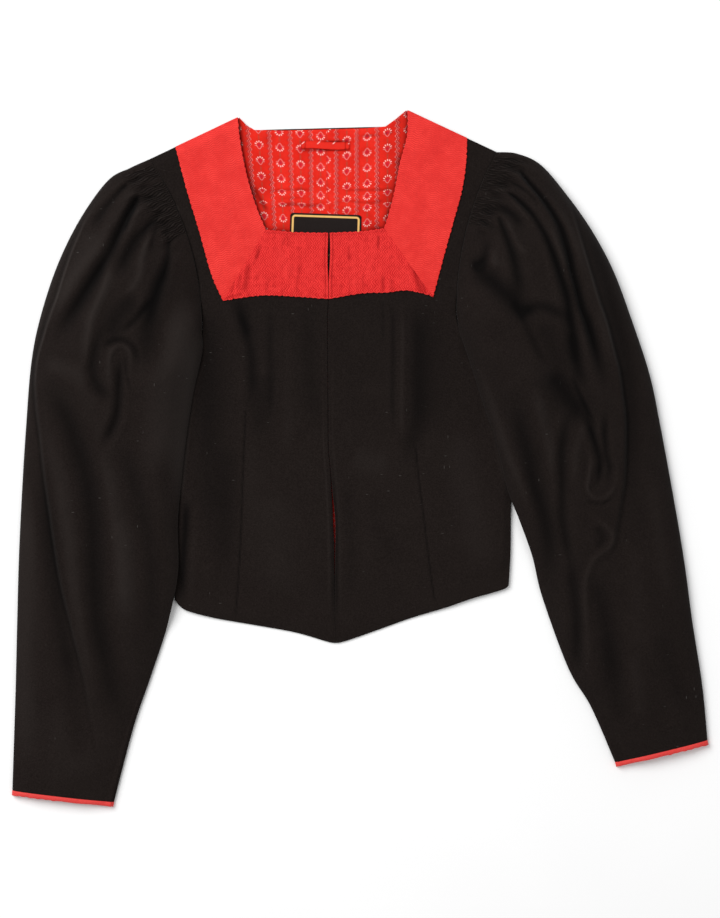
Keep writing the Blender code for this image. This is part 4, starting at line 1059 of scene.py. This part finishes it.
def front(side, material):
    rows = front_rows(side)
    last = len(rows) - 1
    first_side_row = last - len(SIDE_EDGES[side])
    # Plan points with the share by which each leaves the general height, and the height that it then has
    whole = []
    for number, row in enumerate(rows):
        beside = number >= first_side_row
        held = [number >= last - 1 or (beside and column == 0) for column in range(len(row))]
        drops = [smooth_step((back_hem_y(x) - y - 8) / 16) if number == last else 0.0 for x, y in row]
        whole.append([np.array((*point, share, SEAM_UNDER * float(1 - drop)))
                      for point, share, drop in zip(row, held, drops)])
    spans = [np.hypot(*(below[0] - above[0])[:2]) for above, below in zip(whole[:-1], whole[1:])]
    down = [max(3, round(span / FRONT_STEP)) for span in spans]
    points, numbers = numbered(finer(whole, down, FRONT_STEPS))
    plan = points[:, :2].copy()
    hem_line = curve_along(sorted(HEMS[side]), 8)
    plan[numbers[-1], 1] = np.interp(plan[numbers[-1], 0], hem_line[:, 0], hem_line[:, 1])
    centre = np.array([plan[row[-1]] for row in numbers])
    meet(plan, centre[np.abs(centre[:, 0] - CENTRE_X) < CENTRE_REACH], side, FRONT_GAP, 14)
    share = smooth_step(points[:, 2])
    base = front_under(side, plan) * (1 - share) + points[:, 3] * share
    relief, tone = fold_height(FRONT_FOLDS[side], plan)
    # Painted shade and light of the folds, and painted shade over the upper fronts
    tone = tone - UPPER_SHADE * smooth_step((plan[:, 1] + 10) / 90)
    relief = relief + 0.16 * undulation(plan, 0.7)
    near_sleeve = inside_depth(sleeve_cover(side), plan)
    relief = np.where(near_sleeve > -4, np.minimum(relief, 0), relief) * smooth_step((plan[:, 1] + 215) / 12)
    # Painted light on the cloth along the sleeve's edge, fading out below y -50
    tone = tone + LIGHT_BESIDE_SLEEVE[side] * (bell(near_sleeve, -0.6, 2.2) * smooth_step((plan[:, 1] + 50) / 20))
    sunk = np.clip(0.6 * relief, -0.9, 0) * (1 - share)
    under, top = base + sunk, base + WOOL + relief
    return cloth("front_cloth_" + side, plan, numbers, under, top, material, 0.8, tone)


def body_rows(inset, neck_inset, hem_inset):
    """Rows of the back or its lining across the whole body, the upper one following the back of the neck."""
    right_edge, left_edge = (
        [armhole_edge(side, share) for share in BACK_ROWS]
        + [np.array(point, float) for point in SIDE_EDGES[side]] for side in SIDE_OF
    )
    tips = right_edge[0], left_edge[0]
    upper = np.array([tips[0], *BACK_NECK, tips[1]])
    neck_shares = [(point[0] - tips[0][0]) / (tips[1][0] - tips[0][0]) for point in BACK_NECK]
    shares = sorted([*BACK_COLUMNS, *neck_shares])
    rows = []
    for number, (start, stop) in enumerate(zip(right_edge, left_edge)):
        row = []
        for share in shares:
            x, y = lerp(start + (inset, 0), stop - (inset, 0), share)
            if number < 2:
                level = lerp(tips[0], tips[1], share)
                fade = 1 - 0.62 * number
                y += fade * float(np.interp(level[0], upper[:, 0], upper[:, 1]) - level[1])
                at_neck = neck_shares[0] <= share <= neck_shares[-1]
                x += at_neck * 0.75 * fade * (level[0] - x)
                straight = NECK_SPAN[0] < level[0] < NECK_SPAN[1]
                y -= ((neck_inset if straight else 0.1) if at_neck else inset) * (1 - number)
            if number == len(right_edge) - 1:
                y = back_hem_y(x) + hem_inset
            row.append(np.array((x, y)))
        rows.append(row)
    return rows


def body_layer(name, rows, step, under, thickness, relief, material, shade=None):
    """The back or its lining, with a fine grid beside the neck and a coarser one below."""
    steps = [step if number < ROWS_AT_NECK else HIDDEN_STEP for number in range(len(rows) - 1)]
    down = [max(2, round(np.hypot(*(b[0] - a[0])) / long)) for a, b, long in zip(rows[:-1], rows[1:], steps)]
    across = [max(2, round(np.hypot(*(b - a)) / step)) for a, b in zip(rows[4][:-1], rows[4][1:])]
    plan, numbers = numbered(finer(rows, down, across))
    bottom = np.full(len(plan), float(under))
    tone = None if shade is None else shade(plan)
    return cloth(name, plan, numbers, bottom, bottom + thickness + relief(plan), material, 0.5, tone)


def neck_depth(points, top=0.0):
    """Distance inside the neck opening, negative under the fronts and the band; its top may be moved up."""
    right = [*BAND_NECK_EDGES["right"], *BAND_UPPER_EDGES["right"][1:]]
    left = [*BAND_UPPER_EDGES["left"][::-1][:-1], *BAND_NECK_EDGES["left"][::-1]]
    return inside_depth([*right, *left, *[(x, y + top) for x, y in BACK_NECK[::-1]]], points)


def lining_relief(points):
    """Wrinkles where the lining shows through the neck, away from the label."""
    waves = 0.22 * undulation(points, 1.3) + 0.12 * undulation(points, 2.7)
    past = np.clip(np.abs(points - LABEL_CENTRE) - np.array(LABEL_SIZE) / 2, 0, None)
    off_label = 1 - smooth_step(1.4 - np.hypot(*past.T) / 6)
    folds, _ = fold_height(LINING_FOLDS, points)
    return (folds + waves) * smooth_step(neck_depth(points) / 5 + 0.6) * off_label


def lining_shade(points):
    """Painted shadow along the edge of the band and beside the hanger loop's long edges, and painted shade
    in the folds.
    """
    tone = fold_height(LINING_FOLDS, points)[1] + 0.15 * undulation(points, 1.9)
    beside = neck_depth(points, 60.0)
    tone -= 0.6 * np.exp(-np.clip(beside / 2.4, 0, None)) + 0.3 * np.exp(-np.clip(beside / 9, 0, None))
    along, up = np.abs(points - LOOP_CENTRE).T
    near = smooth_step((LOOP_SIZE[0] / 2 + 0.5 - along) / 2)
    return tone - 0.8 * near * bell(up - LOOP_SIZE[1] / 2, 0, 1.1)


def scalloped(line, rows):
    """An edge's points at shares of its length, directions square to it and how far its scallops reach."""
    points = np.array([along_line(line, share) for share in rows])
    length = step_lengths(line).sum()
    tangent = np.gradient(points, axis=0)
    tangent /= np.hypot(*tangent.T)[:, None]
    normal = np.column_stack((-tangent[:, 1], tangent[:, 0]))
    count = round(length / SCALLOP_PITCH)
    wave = np.abs(np.sin(math.pi * (rows * count + 0.06 * np.sin(rows * 37)))) ** 0.7 - 0.55
    uneven = 0.75 + 0.3 * np.sin(rows * 53 + length) + 0.15 * np.sin(rows * 131)
    return points, normal, wave * smooth_step(from_end(rows) * length / 3) * uneven * SCALLOP_DEPTH * 2


def band_piece(name, side, outer_edge, inner_edge, turns, rows, columns, material):
    """A strip of band lying on a front, between its outer edge and its inner edge."""
    shares = np.concatenate((np.linspace(0, 1, 8)[:-1] * turns[2], np.linspace(turns[2], 1, rows)))
    edges = [scalloped(curve_along(edge, 8), np.interp(shares, [0, turns[2], 1], [0, turn, 1]))
             for edge, turn in zip((outer_edge, inner_edge), turns)]
    (outer, outer_normal, outer_wave), (inner, inner_normal, inner_wave) = edges
    facing = np.sign(((inner - outer) * outer_normal).sum())
    outer = outer - facing * outer_normal * outer_wave[:, None]
    inner = inner + facing * inner_normal * inner_wave[:, None]
    ease = np.concatenate(([0, 0.015, 0.035], np.linspace(0.06, 0.94, columns), [0.965, 0.985, 1]))
    lines = [[lerp(start, stop, share) for share in ease] for start, stop in zip(outer, inner)]
    plan, numbers = numbered(lines)
    where, place = np.tile(ease, len(shares)), np.repeat(shares, len(ease))
    across_front = name.startswith("band_front")
    if across_front:
        meet(plan, plan[numbers[-1]], side, BAND_GAP, 12)
    base = front_under(side, plan) + WOOL + GAP
    relief = 0.22 * undulation(plan, 1.2) + 0.1 * undulation(plan, 3.1)
    tone = 0.12 * undulation(plan, 1.6)
    if across_front:
        length = np.hypot(*(outer[-1] - outer[0]))
        phase = TAU * (place * length / PUCKER_PITCH + 0.4 * np.sin(place * 9))
        near_edge = np.exp(-((where / 0.22) ** 2))
        relief += PUCKER_HEIGHT * near_edge * (0.5 + 0.5 * np.sin(phase)) * (0.6 + 0.4 * np.sin(place * 17))
        folds, shade = fold_height(BAND_FOLDS[side], plan)
        width = np.hypot(*(inner - outer).T).mean()
        end = plan[numbers[-1]][np.argsort(plan[numbers[-1]][:, 1])]
        turned = np.abs(plan[:, 0] - np.interp(plan[:, 1], end[:, 1], end[:, 0]))
        uneven = 0.7 + 0.3 * np.sin(place * 61 + 3 * np.sin(place * 23))
        relief += folds
        # Painted shade in the puckers and folds, a dark seam line just inside the turned end and a lighter
        # line on the end itself, dark seam lines just inside the upper and lower edges, and a painted
        # highlight right along the lower edge
        tone += shade - 0.75 * bell(turned, 2.9, 0.6) + 0.2 * bell(turned, 0, 1.6)
        tone -= uneven * 0.5 * bell((1 - where) * width, 2.3, 0.6)
        tone -= uneven * 0.3 * bell(where * width, 2.0, 0.7)
        tone += uneven * 0.7 * bell(where * width, 0, 0.9)
    relief = np.maximum(relief, -0.5) * (0.35 + 0.65 * smooth_step(from_end(where) / 0.03))
    lifted = np.clip(relief, 0, None) * 0.8
    return cloth(name, plan, numbers, base + lifted, base + BAND + relief, material, 0.35, tone)


def collar(side, side_material, front_material):
    """The side strip over the shoulder and the strip across the front, mitred together."""
    mitre = np.array((-MITRE_SHIFT * SIDE_OF[side], 0))
    edges = [np.array(table[side], float)
             for table in (BAND_OUTER_EDGES, BAND_NECK_EDGES, BAND_LOWER_EDGES, BAND_UPPER_EDGES)]
    for edge in edges[:2]:
        edge[-1] -= mitre
    for edge in edges[2:]:
        edge[0] += mitre
    turns = [turned_share(side, lambda share, edge=edge: along_line(edge, share)) for edge in edges[:2]]
    strip_turns, across_turns = (*turns, STRIP_START), (STRIP_START, STRIP_START, STRIP_START)
    strip = band_piece("band_side_" + side, side, *edges[:2], strip_turns, *SIDE_GRID, side_material)
    across = band_piece("band_front_" + side, side, *edges[2:], across_turns, *ACROSS_GRID, front_material)
    return strip, across


def label(material):
    """A woven label with rounded corners, lying slightly turned on the lining."""
    half_x, half_y = LABEL_SIZE[0] / 2, LABEL_SIZE[1] / 2
    corner = np.linspace(half_y, half_y - LABEL_CORNER, 6)[:-1]
    levels = [*corner, *np.linspace(half_y - LABEL_CORNER, LABEL_CORNER - half_y, 18), *-corner[::-1]]
    rows = []
    for level in levels:
        past = max(abs(level) - (half_y - LABEL_CORNER), 0)
        reach = half_x - LABEL_CORNER + math.sqrt(max(LABEL_CORNER**2 - past**2, 0))
        rows.append([np.array((share * reach, level)) for share in np.linspace(-1, 1, 31)])
    plan, numbers = numbered(rows)
    cos, sin = math.cos(LABEL_TILT), math.sin(LABEL_TILT)
    plan = plan @ np.array(((cos, sin), (-sin, cos))) + LABEL_CENTRE
    base = np.full(len(plan), LINING_UNDER + LINING + GAP - 0.1)
    top = base + LABEL + 0.1 * undulation(plan, 2.0)
    return cloth("label_patch", plan, numbers, base, top, material, 0.25)


def hanger_loop(material):
    """A narrow folded strip sewn down at both ends, arched a little between them."""
    length, width = LOOP_SIZE
    shares = np.linspace(0, 1, 70)
    rows = [[np.array((LOOP_CENTRE[0] + (share - 0.5) * length,
                       LOOP_CENTRE[1] + edge * width + 0.5 * math.sin(share * 7) - 1.0 * (share - 0.5)))
             for share in shares] for edge in LOOP_ROWS]
    plan, numbers = numbered(rows)
    share = (plan[:, 0] - LOOP_CENTRE[0]) / length + 0.5
    where, ends = np.abs(np.repeat(LOOP_ROWS, len(shares))), from_end(share)
    base = LINING_UNDER + LINING + GAP + LOOP_RISE * np.sin(math.pi * share) ** 2
    sewn = bell(ends, LOOP_SEWN, 0.014)
    stitched = bell(where, LOOP_STITCH, 0.05) * (ends < LOOP_SEWN)
    top = base + LINING - 0.25 * sewn - 0.2 * stitched + 0.12 * undulation(plan, 3.0)
    rim, end = bell((0.5 - where) * width, 0, 0.9), bell(ends * length, 0, 0.8)
    # Painted shade along the loop's long edges and at its ends, darker where it is sewn down and stitched,
    # and a little lighter over the rest of its face
    tone = 0.25 - 0.5 * rim - 0.7 * end - 0.75 * sewn - 0.4 * stitched + 0.1 * undulation(plan, 3.0)
    return cloth("loop_strip", plan, numbers, base, top, material, 0.3, tone)


# Materials


class Field:
    """A number that shader nodes work out at each point of the cloth."""

    def __init__(self, tree, socket):
        self.tree, self.socket = tree, socket

    def with_math(self, operation, *others):
        node = self.tree.nodes.new("ShaderNodeMath")
        node.operation = operation
        for place, value in enumerate((self, *others)):
            if isinstance(value, Field):
                self.tree.links.new(value.socket, node.inputs[place])
            else:
                node.inputs[place].default_value = value
        return Field(self.tree, node.outputs[0])

    def __add__(self, other):
        return self.with_math("ADD", other)

    def __sub__(self, other):
        return self.with_math("SUBTRACT", other)

    def __mul__(self, other):
        return self.with_math("MULTIPLY", other)

    def __truediv__(self, other):
        return self.with_math("DIVIDE", other)

    def __abs__(self):
        return self.with_math("ABSOLUTE")

    def step(self, low, high):
        """Rises smoothly from 0 at low to 1 at high, or falls where high is below low."""
        node = self.tree.nodes.new("ShaderNodeMapRange")
        node.interpolation_type = "SMOOTHSTEP"
        self.tree.links.new(self.socket, node.inputs["Value"])
        node.inputs["From Min"].default_value = min(low, high)
        node.inputs["From Max"].default_value = max(low, high)
        node.inputs["To Min"].default_value = float(high <= low)
        node.inputs["To Max"].default_value = float(high > low)
        return Field(self.tree, node.outputs["Result"])

    def line(self, centre, half_width, soft=0.3):
        """1 within half a width of a value, with soft sides."""
        return abs(self - centre).step(half_width + soft / 2, half_width - soft / 2)

    def wave(self):
        """The sine of the value, brought between 0 and 1."""
        return self.with_math("SINE") * 0.5 + 0.5

    def triangle(self):
        """A wave of unit length between 0 and 1."""
        return self.with_math("PINGPONG", 0.5) * 2

    def at_least(self, least):
        return self.with_math("MAXIMUM", least)

    def at_most(self, most):
        return self.with_math("MINIMUM", most)


class Finish:
    """One cloth material and the nodes of its pattern; lengths are millimetres in plan."""

    def __init__(self, name, roughness, sheen=0.0, sheen_roughness=0.5, specular=0.3):
        self.material = bpy.data.materials.new(name)
        self.material.use_nodes = True
        self.tree = self.material.node_tree
        self.shader = self.tree.nodes["Principled BSDF"]
        self.shader.inputs["Roughness"].default_value = roughness
        self.shader.inputs["Sheen Weight"].default_value = sheen
        self.shader.inputs["Sheen Roughness"].default_value = sheen_roughness
        self.shader.inputs["Specular IOR Level"].default_value = specular
        place = self.tree.nodes.new("ShaderNodeTexCoord")
        scale = self.tree.nodes.new("ShaderNodeVectorMath")
        scale.operation = "SCALE"
        scale.inputs["Scale"].default_value = 1 / MM
        self.tree.links.new(place.outputs["Object"], scale.inputs[0])
        self.millimetres = scale.outputs[0]
        parts = self.tree.nodes.new("ShaderNodeSeparateXYZ")
        self.tree.links.new(self.millimetres, parts.inputs[0])
        self.x = Field(self.tree, parts.outputs[0]) - PLAN_SHIFT[0]
        self.y = Field(self.tree, parts.outputs[1]) - PLAN_SHIFT[1]
        self.colour = None

    def texture(self, kind, output, values, size, stretch, turn):
        """A texture whose features are about this size, stretched and turned in plan."""
        mapping = self.tree.nodes.new("ShaderNodeMapping")
        mapping.inputs["Rotation"].default_value = (0, 0, turn)
        mapping.inputs["Scale"].default_value = [share / size for share in stretch]
        self.tree.links.new(self.millimetres, mapping.inputs["Vector"])
        node = self.tree.nodes.new(kind)
        for name, value in {"Scale": 1.0, **values}.items():
            node.inputs[name].default_value = value
        self.tree.links.new(mapping.outputs[0], node.inputs["Vector"])
        return Field(self.tree, node.outputs[output])

    def noise(self, size, detail=2.0, roughness=0.5, stretch=(1, 1, 1), turn=0.0):
        """Noise between about 0 and 1."""
        values = {"Detail": detail, "Roughness": roughness}
        return self.texture("ShaderNodeTexNoise", "Fac", values, size, stretch, turn)

    def spots(self, size, stretch, turn):
        """Distance from scattered points, in units of their spacing."""
        return self.texture("ShaderNodeTexVoronoi", "Distance", {}, size, stretch, turn)

    def paint(self, colour, share=None):
        """Lays a colour over what is there, by a share that may be a field."""
        if self.colour is None:
            node = self.tree.nodes.new("ShaderNodeRGB")
            node.outputs[0].default_value = (*colour, 1)
            self.colour = node.outputs[0]
            return
        node = self.tree.nodes.new("ShaderNodeMix")
        node.data_type = "RGBA"
        self.tree.links.new(share.socket, node.inputs[0])
        self.tree.links.new(self.colour, node.inputs[6])
        node.inputs[7].default_value = (*colour, 1)
        self.colour = node.outputs[2]

    def shaded(self, dark, dark_share, light, light_share):
        """Paints the shade and light kept in the mesh's tone: a dark colour as painted shade in the folds, a
        light one as painted light on what stands up to the light.
        """
        node = self.tree.nodes.new("ShaderNodeAttribute")
        node.attribute_name = "tone"
        tone = Field(self.tree, node.outputs["Fac"])
        darker = (tone * -1.0).at_least(0.0).at_most(1.0)
        lighter = tone.at_least(0.0).at_most(1.0)
        self.paint(dark, darker * dark_share)
        self.paint(light, lighter * light_share)

    def done(self, height, depth):
        """Joins the colour and the relief, whose full height is depth millimetres, to the shader."""
        bump = self.tree.nodes.new("ShaderNodeBump")
        bump.inputs["Strength"].default_value = 1.0
        bump.inputs["Distance"].default_value = depth * MM
        self.tree.links.new(height.socket, bump.inputs["Height"])
        self.tree.links.new(bump.outputs[0], self.shader.inputs["Normal"])
        self.tree.links.new(self.colour, self.shader.inputs["Base Color"])
        return self.material


def wool_material():
    """Milled wool: an almost black felted face with a fine nap, faint mottling and a few pale fibres."""
    wool = Finish("black_wool_cloth", 0.95, sheen=0.03, specular=0.06)
    nap = wool.noise(1.5, 4.0, 0.7)
    twill = wool.noise(2.2, 2.0, 0.6, (1.0, 2.6, 1.0), 0.7)
    clouds = wool.noise(24, 3.0, 0.6)
    wool.paint((0.0075, 0.0050, 0.0043))
    wool.paint((0.0165, 0.0120, 0.0105), (nap * 0.95 + clouds * 0.12).step(0.3, 0.85))
    wool.paint((0.0210, 0.0158, 0.0140), (twill + clouds * 0.1).step(0.55, 0.95) * 0.5)
    # Painted shade in the folds and painted light on what stands up, from the mesh's tone
    wool.shaded((0.0014, 0.0011, 0.0011), 0.9, (0.0480, 0.0400, 0.0365), 0.45)
    fibres = wool.spots(26, (1, 5.5, 1), 0.6).step(0.075, 0.03)
    fibres = fibres + wool.spots(31, (6, 1, 1), 0.25).step(0.07, 0.03)
    wool.paint((0.10, 0.095, 0.088), fibres * wool.noise(60).step(0.52, 0.66) * 0.6)
    return wool.done(nap * 0.7 + twill * 0.3, 0.45)


def side_band_material(name, along):
    """A woven band with fine wavy ribs across it; along is the direction that it runs in, in plan."""
    band = Finish(name, 0.66, sheen=0.03, sheen_roughness=0.4, specular=0.14)
    cos, sin = (part / math.hypot(*along) for part in along)
    run = band.x * cos + band.y * sin
    width = band.y * cos - band.x * sin
    wobble = band.noise(11, 2.0) * 2.4
    zigzag = (width / ZIGZAG_LENGTH).triangle() * ZIGZAG_HEIGHT
    ribs = ((run + zigzag + wobble) * (TAU / RIB_PITCH)).wave()
    grain = band.noise(1.3, 3.0, 0.65)
    clouds = band.noise(26, 3.0, 0.6)
    seen = band.noise(15, 2.0).step(0.35, 0.65) * 0.6 + 0.3
    band.paint((0.68, 0.024, 0.020))
    band.paint((0.90, 0.052, 0.042), ribs.step(0.1, 0.95) * seen)
    band.paint((0.58, 0.018, 0.016), (grain + clouds * 0.5).step(0.6, 1.0) * 0.6)
    # Painted shade in the folds and painted light on what stands up, from the mesh's tone
    band.shaded((0.34, 0.006, 0.006), 0.8, (0.92, 0.075, 0.062), 0.5)
    return band.done(ribs * 0.75 + grain * 0.25, 0.3)


def front_band_material():
    """The same band turned across the front: zigzag threads that run down it, with small darker diamonds."""
    band = Finish("red_band_front", 0.7, specular=0.06)
    wobble = band.noise(11, 2.0) * 4.0
    across, down = band.x + wobble, band.y + band.noise(13, 2.0) * 2.0
    slant = ((down / THREAD_LENGTH).triangle() - 0.5) * THREAD_SWING
    threads = ((across + slant) * (TAU / THREAD_PITCH)).wave()
    crossing = ((across - slant) * (TAU / THREAD_PITCH)).wave()
    turning = ((across + band.noise(24, 2.0) * 18.0) / (2 * DIAMOND_SIZE[0])).triangle().step(0.25, 0.75)
    threads = threads * turning + crossing * (turning * -1.0 + 1.0)
    worn = band.noise(5, 2.0).step(0.32, 0.6) * 0.5 + 0.5
    threads = (threads - 0.62) * worn + 0.62
    grain = band.noise(1.2, 3.0, 0.65)
    clouds = band.noise(20, 3.0, 0.6)
    diamonds = (across / DIAMOND_SIZE[0]).triangle() + (down / DIAMOND_SIZE[1]).triangle()
    chosen = band.noise(8, 1.0).step(0.45, 0.68)
    band.paint((0.50, 0.011, 0.012))
    band.paint((0.92, 0.052, 0.046), threads.step(0.1, 0.75) * (clouds * 0.8 + 0.45).at_most(1.0))
    band.paint((0.46, 0.008, 0.010), (grain + clouds * 0.3).step(0.5, 0.95) * 0.75)
    band.paint((0.36, 0.005, 0.008), diamonds.step(0.95, 0.45) * chosen * 0.3)
    # Painted shade in the folds and puckers and painted light on what stands up, from the mesh's tone
    band.shaded((0.24, 0.003, 0.004), 0.85, (0.92, 0.075, 0.065), 0.5)
    return band.done(threads * 0.7 + grain * 0.3 - diamonds.step(0.75, 0.35) * 0.3, 0.35)


def piping_material():
    """Plain red bias binding with a fine grain across it."""
    binding = Finish("red_piping", 0.6, sheen=0.25, sheen_roughness=0.4, specular=0.35)
    grain = binding.noise(0.9, 3.0, 0.6, (1.0, 2.0, 1.0), 0.4)
    clouds = binding.noise(16, 3.0)
    binding.paint((0.62, 0.028, 0.024))
    binding.paint((0.80, 0.060, 0.050), (grain + clouds * 0.3).step(0.45, 0.95))
    binding.paint((0.36, 0.012, 0.012), binding.noise(5, 2.0).step(0.58, 0.8) * 0.4)
    return binding.done(grain, 0.3)


def print_half(lining, place, column, row):
    """One half of the print: flowers in columns, facing up and down by turns, with zigzags between them."""
    odd = ((column + 20.5).with_math("FLOOR") * 0.5).with_math("FRACT") * 2.0
    local_x = ((column + 0.5).with_math("FRACT") - 0.5) * PRINT_COLUMN
    local_y = ((row + 0.5).with_math("FRACT") - 0.5) * PRINT_ROW
    towards = local_y * (odd * -2.0 + 1.0)
    radius = (local_x * local_x + towards * towards).with_math("SQRT")
    angle = local_x.with_math("ARCTAN2", towards)
    open_angle = abs(angle)
    petals = radius.line(3.75, 0.95, 0.45) * (angle * 10.6).with_math("COSINE").step(0.15, 0.75)
    drop = radius - abs(open_angle - math.pi).step(0.8, 0.0) * 1.1
    outline = drop.line(2.75, 0.4, 0.5) * open_angle.step(1.4, 1.75)
    zig_x = (column.with_math("FRACT") - 0.5) * PRINT_COLUMN
    phase = row * ZIGZAGS_A_ROW
    leaning = (phase.with_math("FRACT") - 0.5).step(-0.02, 0.02)
    stroke = zig_x - (phase.triangle() - 0.5) * ZIGZAG_SWING
    inside = abs(zig_x).step(3.7, 3.2)
    stem = local_x.line(0.0, 0.8, 1.0) * radius.step(4.8, 6.8)
    lining.paint((0.30, 0.065, 0.035), stem * 0.5 * place)
    lining.paint((0.50, 0.012, 0.045), radius.step(2.1, 0.9) * 0.65 * place)
    lining.paint((0.62, 0.240, 0.240), outline * 0.8 * place)
    lining.paint((0.90, 0.660, 0.620), petals * open_angle.step(1.85, 1.6) * place)
    lining.paint((0.10, 0.016, 0.020), stroke.line(-0.7, 0.4) * inside * (leaning * -0.2 + 0.85) * place)
    lining.paint((0.10, 0.016, 0.020), stroke.line(1.5, 0.4) * inside * (leaning * -0.2 + 0.7) * place)
    dots = inside * ((row * 8.0).triangle().step(0.15, 0.6) * 0.6 + 0.4) * place
    lining.paint((0.86, 0.560, 0.540), stroke.line(-1.6, 0.2, 0.2) * dots * (leaning * 0.4 + 0.5))
    lining.paint((0.84, 0.520, 0.500), stroke.line(0.5, 0.18, 0.2) * dots * (leaning * -0.3 + 0.75))


def lining_material(printed=True):
    """Red printed cotton: columns of small half flowers between zigzags, cut in two by the centre pleat."""
    lining = Finish("red_printed_lining" if printed else "red_loop_cotton", 0.85, specular=0.08)
    grain = lining.noise(0.8, 3.0, 0.6)
    clouds = lining.noise(22, 3.0)
    lining.paint((0.64, 0.015, 0.008))
    lining.paint((0.79, 0.026, 0.014), (grain * 0.6 + clouds * 0.6).step(0.4, 0.85))
    if printed:
        down = (lining.y - PRINT_TOP) * -1.0
        upper, lower = (lining.y.step(top, foot) * length for top, foot, length in PRINT_FOLDS)
        hidden = upper + lower
        pleat = lining.x - PLEAT_X - down.step(60, 90) * 4.0
        left, right = pleat.step(0.2, -0.2), pleat.step(-0.2, 0.2)
        away = (lining.x - FIRST_COLUMNS[0]) * -1.0
        column = away / ((down - 5) * -0.024 + 21.4)
        print_half(lining, left, column, (down + hidden - 6.2 + away * 0.1) / PRINT_ROW)
        away = lining.x - FIRST_COLUMNS[1]
        column = away / 21.4 + 1.0
        print_half(lining, right, column, (down + hidden + 5.2 + away * 0.19) / PRINT_ROW)
    else:
        cut = ((lining.x + 51.6) / PRINT_ROW).with_math("FRACT") * PRINT_ROW - PRINT_ROW / 2
        up = lining.y - LOOP_CENTRE[1] - 2.6
        dashes = (cut - up * 1.1).line(0.0, 0.6, 0.5) * abs(up).step(1.5, 1.1)
        lining.paint((0.84, 0.560, 0.520), dashes)
    # Painted shadow and shade from the mesh's tone, and painted light on what stands up
    lining.shaded((0.055, 0.0, 0.0), 0.9, (0.86, 0.060, 0.040), 0.5)
    return lining.done(grain, 0.2)


def label_material():
    """Black satin weave with a gold line near its edge; its face is left bare."""
    weave = Finish("woven_label", 0.8, specular=0.06)
    x, y = weave.x - LABEL_CENTRE[0], weave.y - LABEL_CENTRE[1]
    along = x * math.cos(LABEL_TILT) + y * math.sin(LABEL_TILT)
    up = y * math.cos(LABEL_TILT) - x * math.sin(LABEL_TILT)
    half = [size / 2 - LABEL_CORNER - 2.6 for size in LABEL_SIZE]
    past_x, past_y = ((abs(part) - limit).at_least(0.0) for part, limit in zip((along, up), half))
    past = (past_x * past_x + past_y * past_y).with_math("SQRT")
    threads = (up * (TAU / 0.9)).wave()
    grain = weave.noise(0.8, 3.0, 0.6)
    weave.paint((0.0080, 0.0055, 0.0050))
    weave.paint((0.0230, 0.0170, 0.0160), (threads * 0.5 + grain * 0.6).step(0.3, 0.9))
    gold = past.line(LABEL_CORNER - 0.3, 1.0, 0.5) * (threads * 0.2 + grain * 0.6 + 0.55).at_most(1.0)
    weave.paint((0.86, 0.52, 0.17), gold)
    return weave.done(threads * 0.6 + grain * 0.4 + gold * 0.6, 0.2)


def floor_material():
    paper = Finish("pale_floor", 0.9, specular=0.1)
    soft = paper.noise(300, 2.0)
    paper.paint((0.93, 0.93, 0.93))
    paper.paint((0.95, 0.95, 0.95), soft.step(0.3, 0.7))
    return paper.done(soft, 0.01)


# Setting


def setting():
    """A plain pale floor, soft light from above and to the upper left, and the camera straight above."""
    scene = bpy.context.scene
    bpy.ops.mesh.primitive_plane_add(size=14, location=(0, 0, -0.0006))
    floor = bpy.context.object
    floor.name = "floor"
    floor.data.materials.append(floor_material())
    scene.world = bpy.data.worlds.new("studio")
    scene.world.use_nodes = True
    background = scene.world.node_tree.nodes["Background"]
    background.inputs[0].default_value = (1, 1, 1, 1)
    background.inputs[1].default_value = WORLD_LIGHT
    for name, place, size, power in LIGHTS:
        light = bpy.data.lights.new(name, "AREA")
        light.shape = "DISK"
        light.size = size
        light.energy = power
        lamp = bpy.data.objects.new(name, light)
        lamp.location = place
        lamp.rotation_euler = (-Vector(place)).to_track_quat("-Z", "Y").to_euler()
        scene.collection.objects.link(lamp)
    camera = bpy.data.objects.new("camera", bpy.data.cameras.new("camera"))
    camera.location = CAMERA_PLACE
    camera.data.sensor_width = 36
    camera.data.lens = CAMERA_LENS
    camera.data.clip_end = 30
    scene.collection.objects.link(camera)
    scene.camera = camera
    scene.view_settings.view_transform = "Standard"


setting()
wool = wool_material()
printed_cotton = lining_material()
piping = piping_material()
woven_label = label_material()
side_bands = {
    side: side_band_material("red_band_side_" + side, along) for side, along in BAND_DIRECTIONS.items()
}
front_band = front_band_material()

made = {}
rows = body_rows(0.0, 0.0, 0.0)
made["back"] = body_layer("back_cloth", rows, 5.0, 0.0, WOOL, lambda at: 0.12 * undulation(at), wool)
rows = body_rows(13.0, 1.5, LINING_HEM)
made["back_lining"] = body_layer(
    "lining_cloth", rows, 1.2, LINING_UNDER, LINING, lining_relief, printed_cotton, lining_shade
)
made["label"] = label(woven_label)
made["hanger_loop"] = hanger_loop(lining_material(printed=False))
for side in SIDE_OF:
    made["front_" + side] = front(side, wool)
    made["collar_side_" + side], made["collar_front_" + side] = collar(side, side_bands[side], front_band)
    made["sleeve_" + side] = sleeve(side, wool)
    made["cuff_binding_" + side] = cuff_binding(side, piping)

for node, (slot_name, flat, area, rests_on, held) in SHEETS.items():
    piece = made[node]
    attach(piece, "root")
    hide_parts(node)
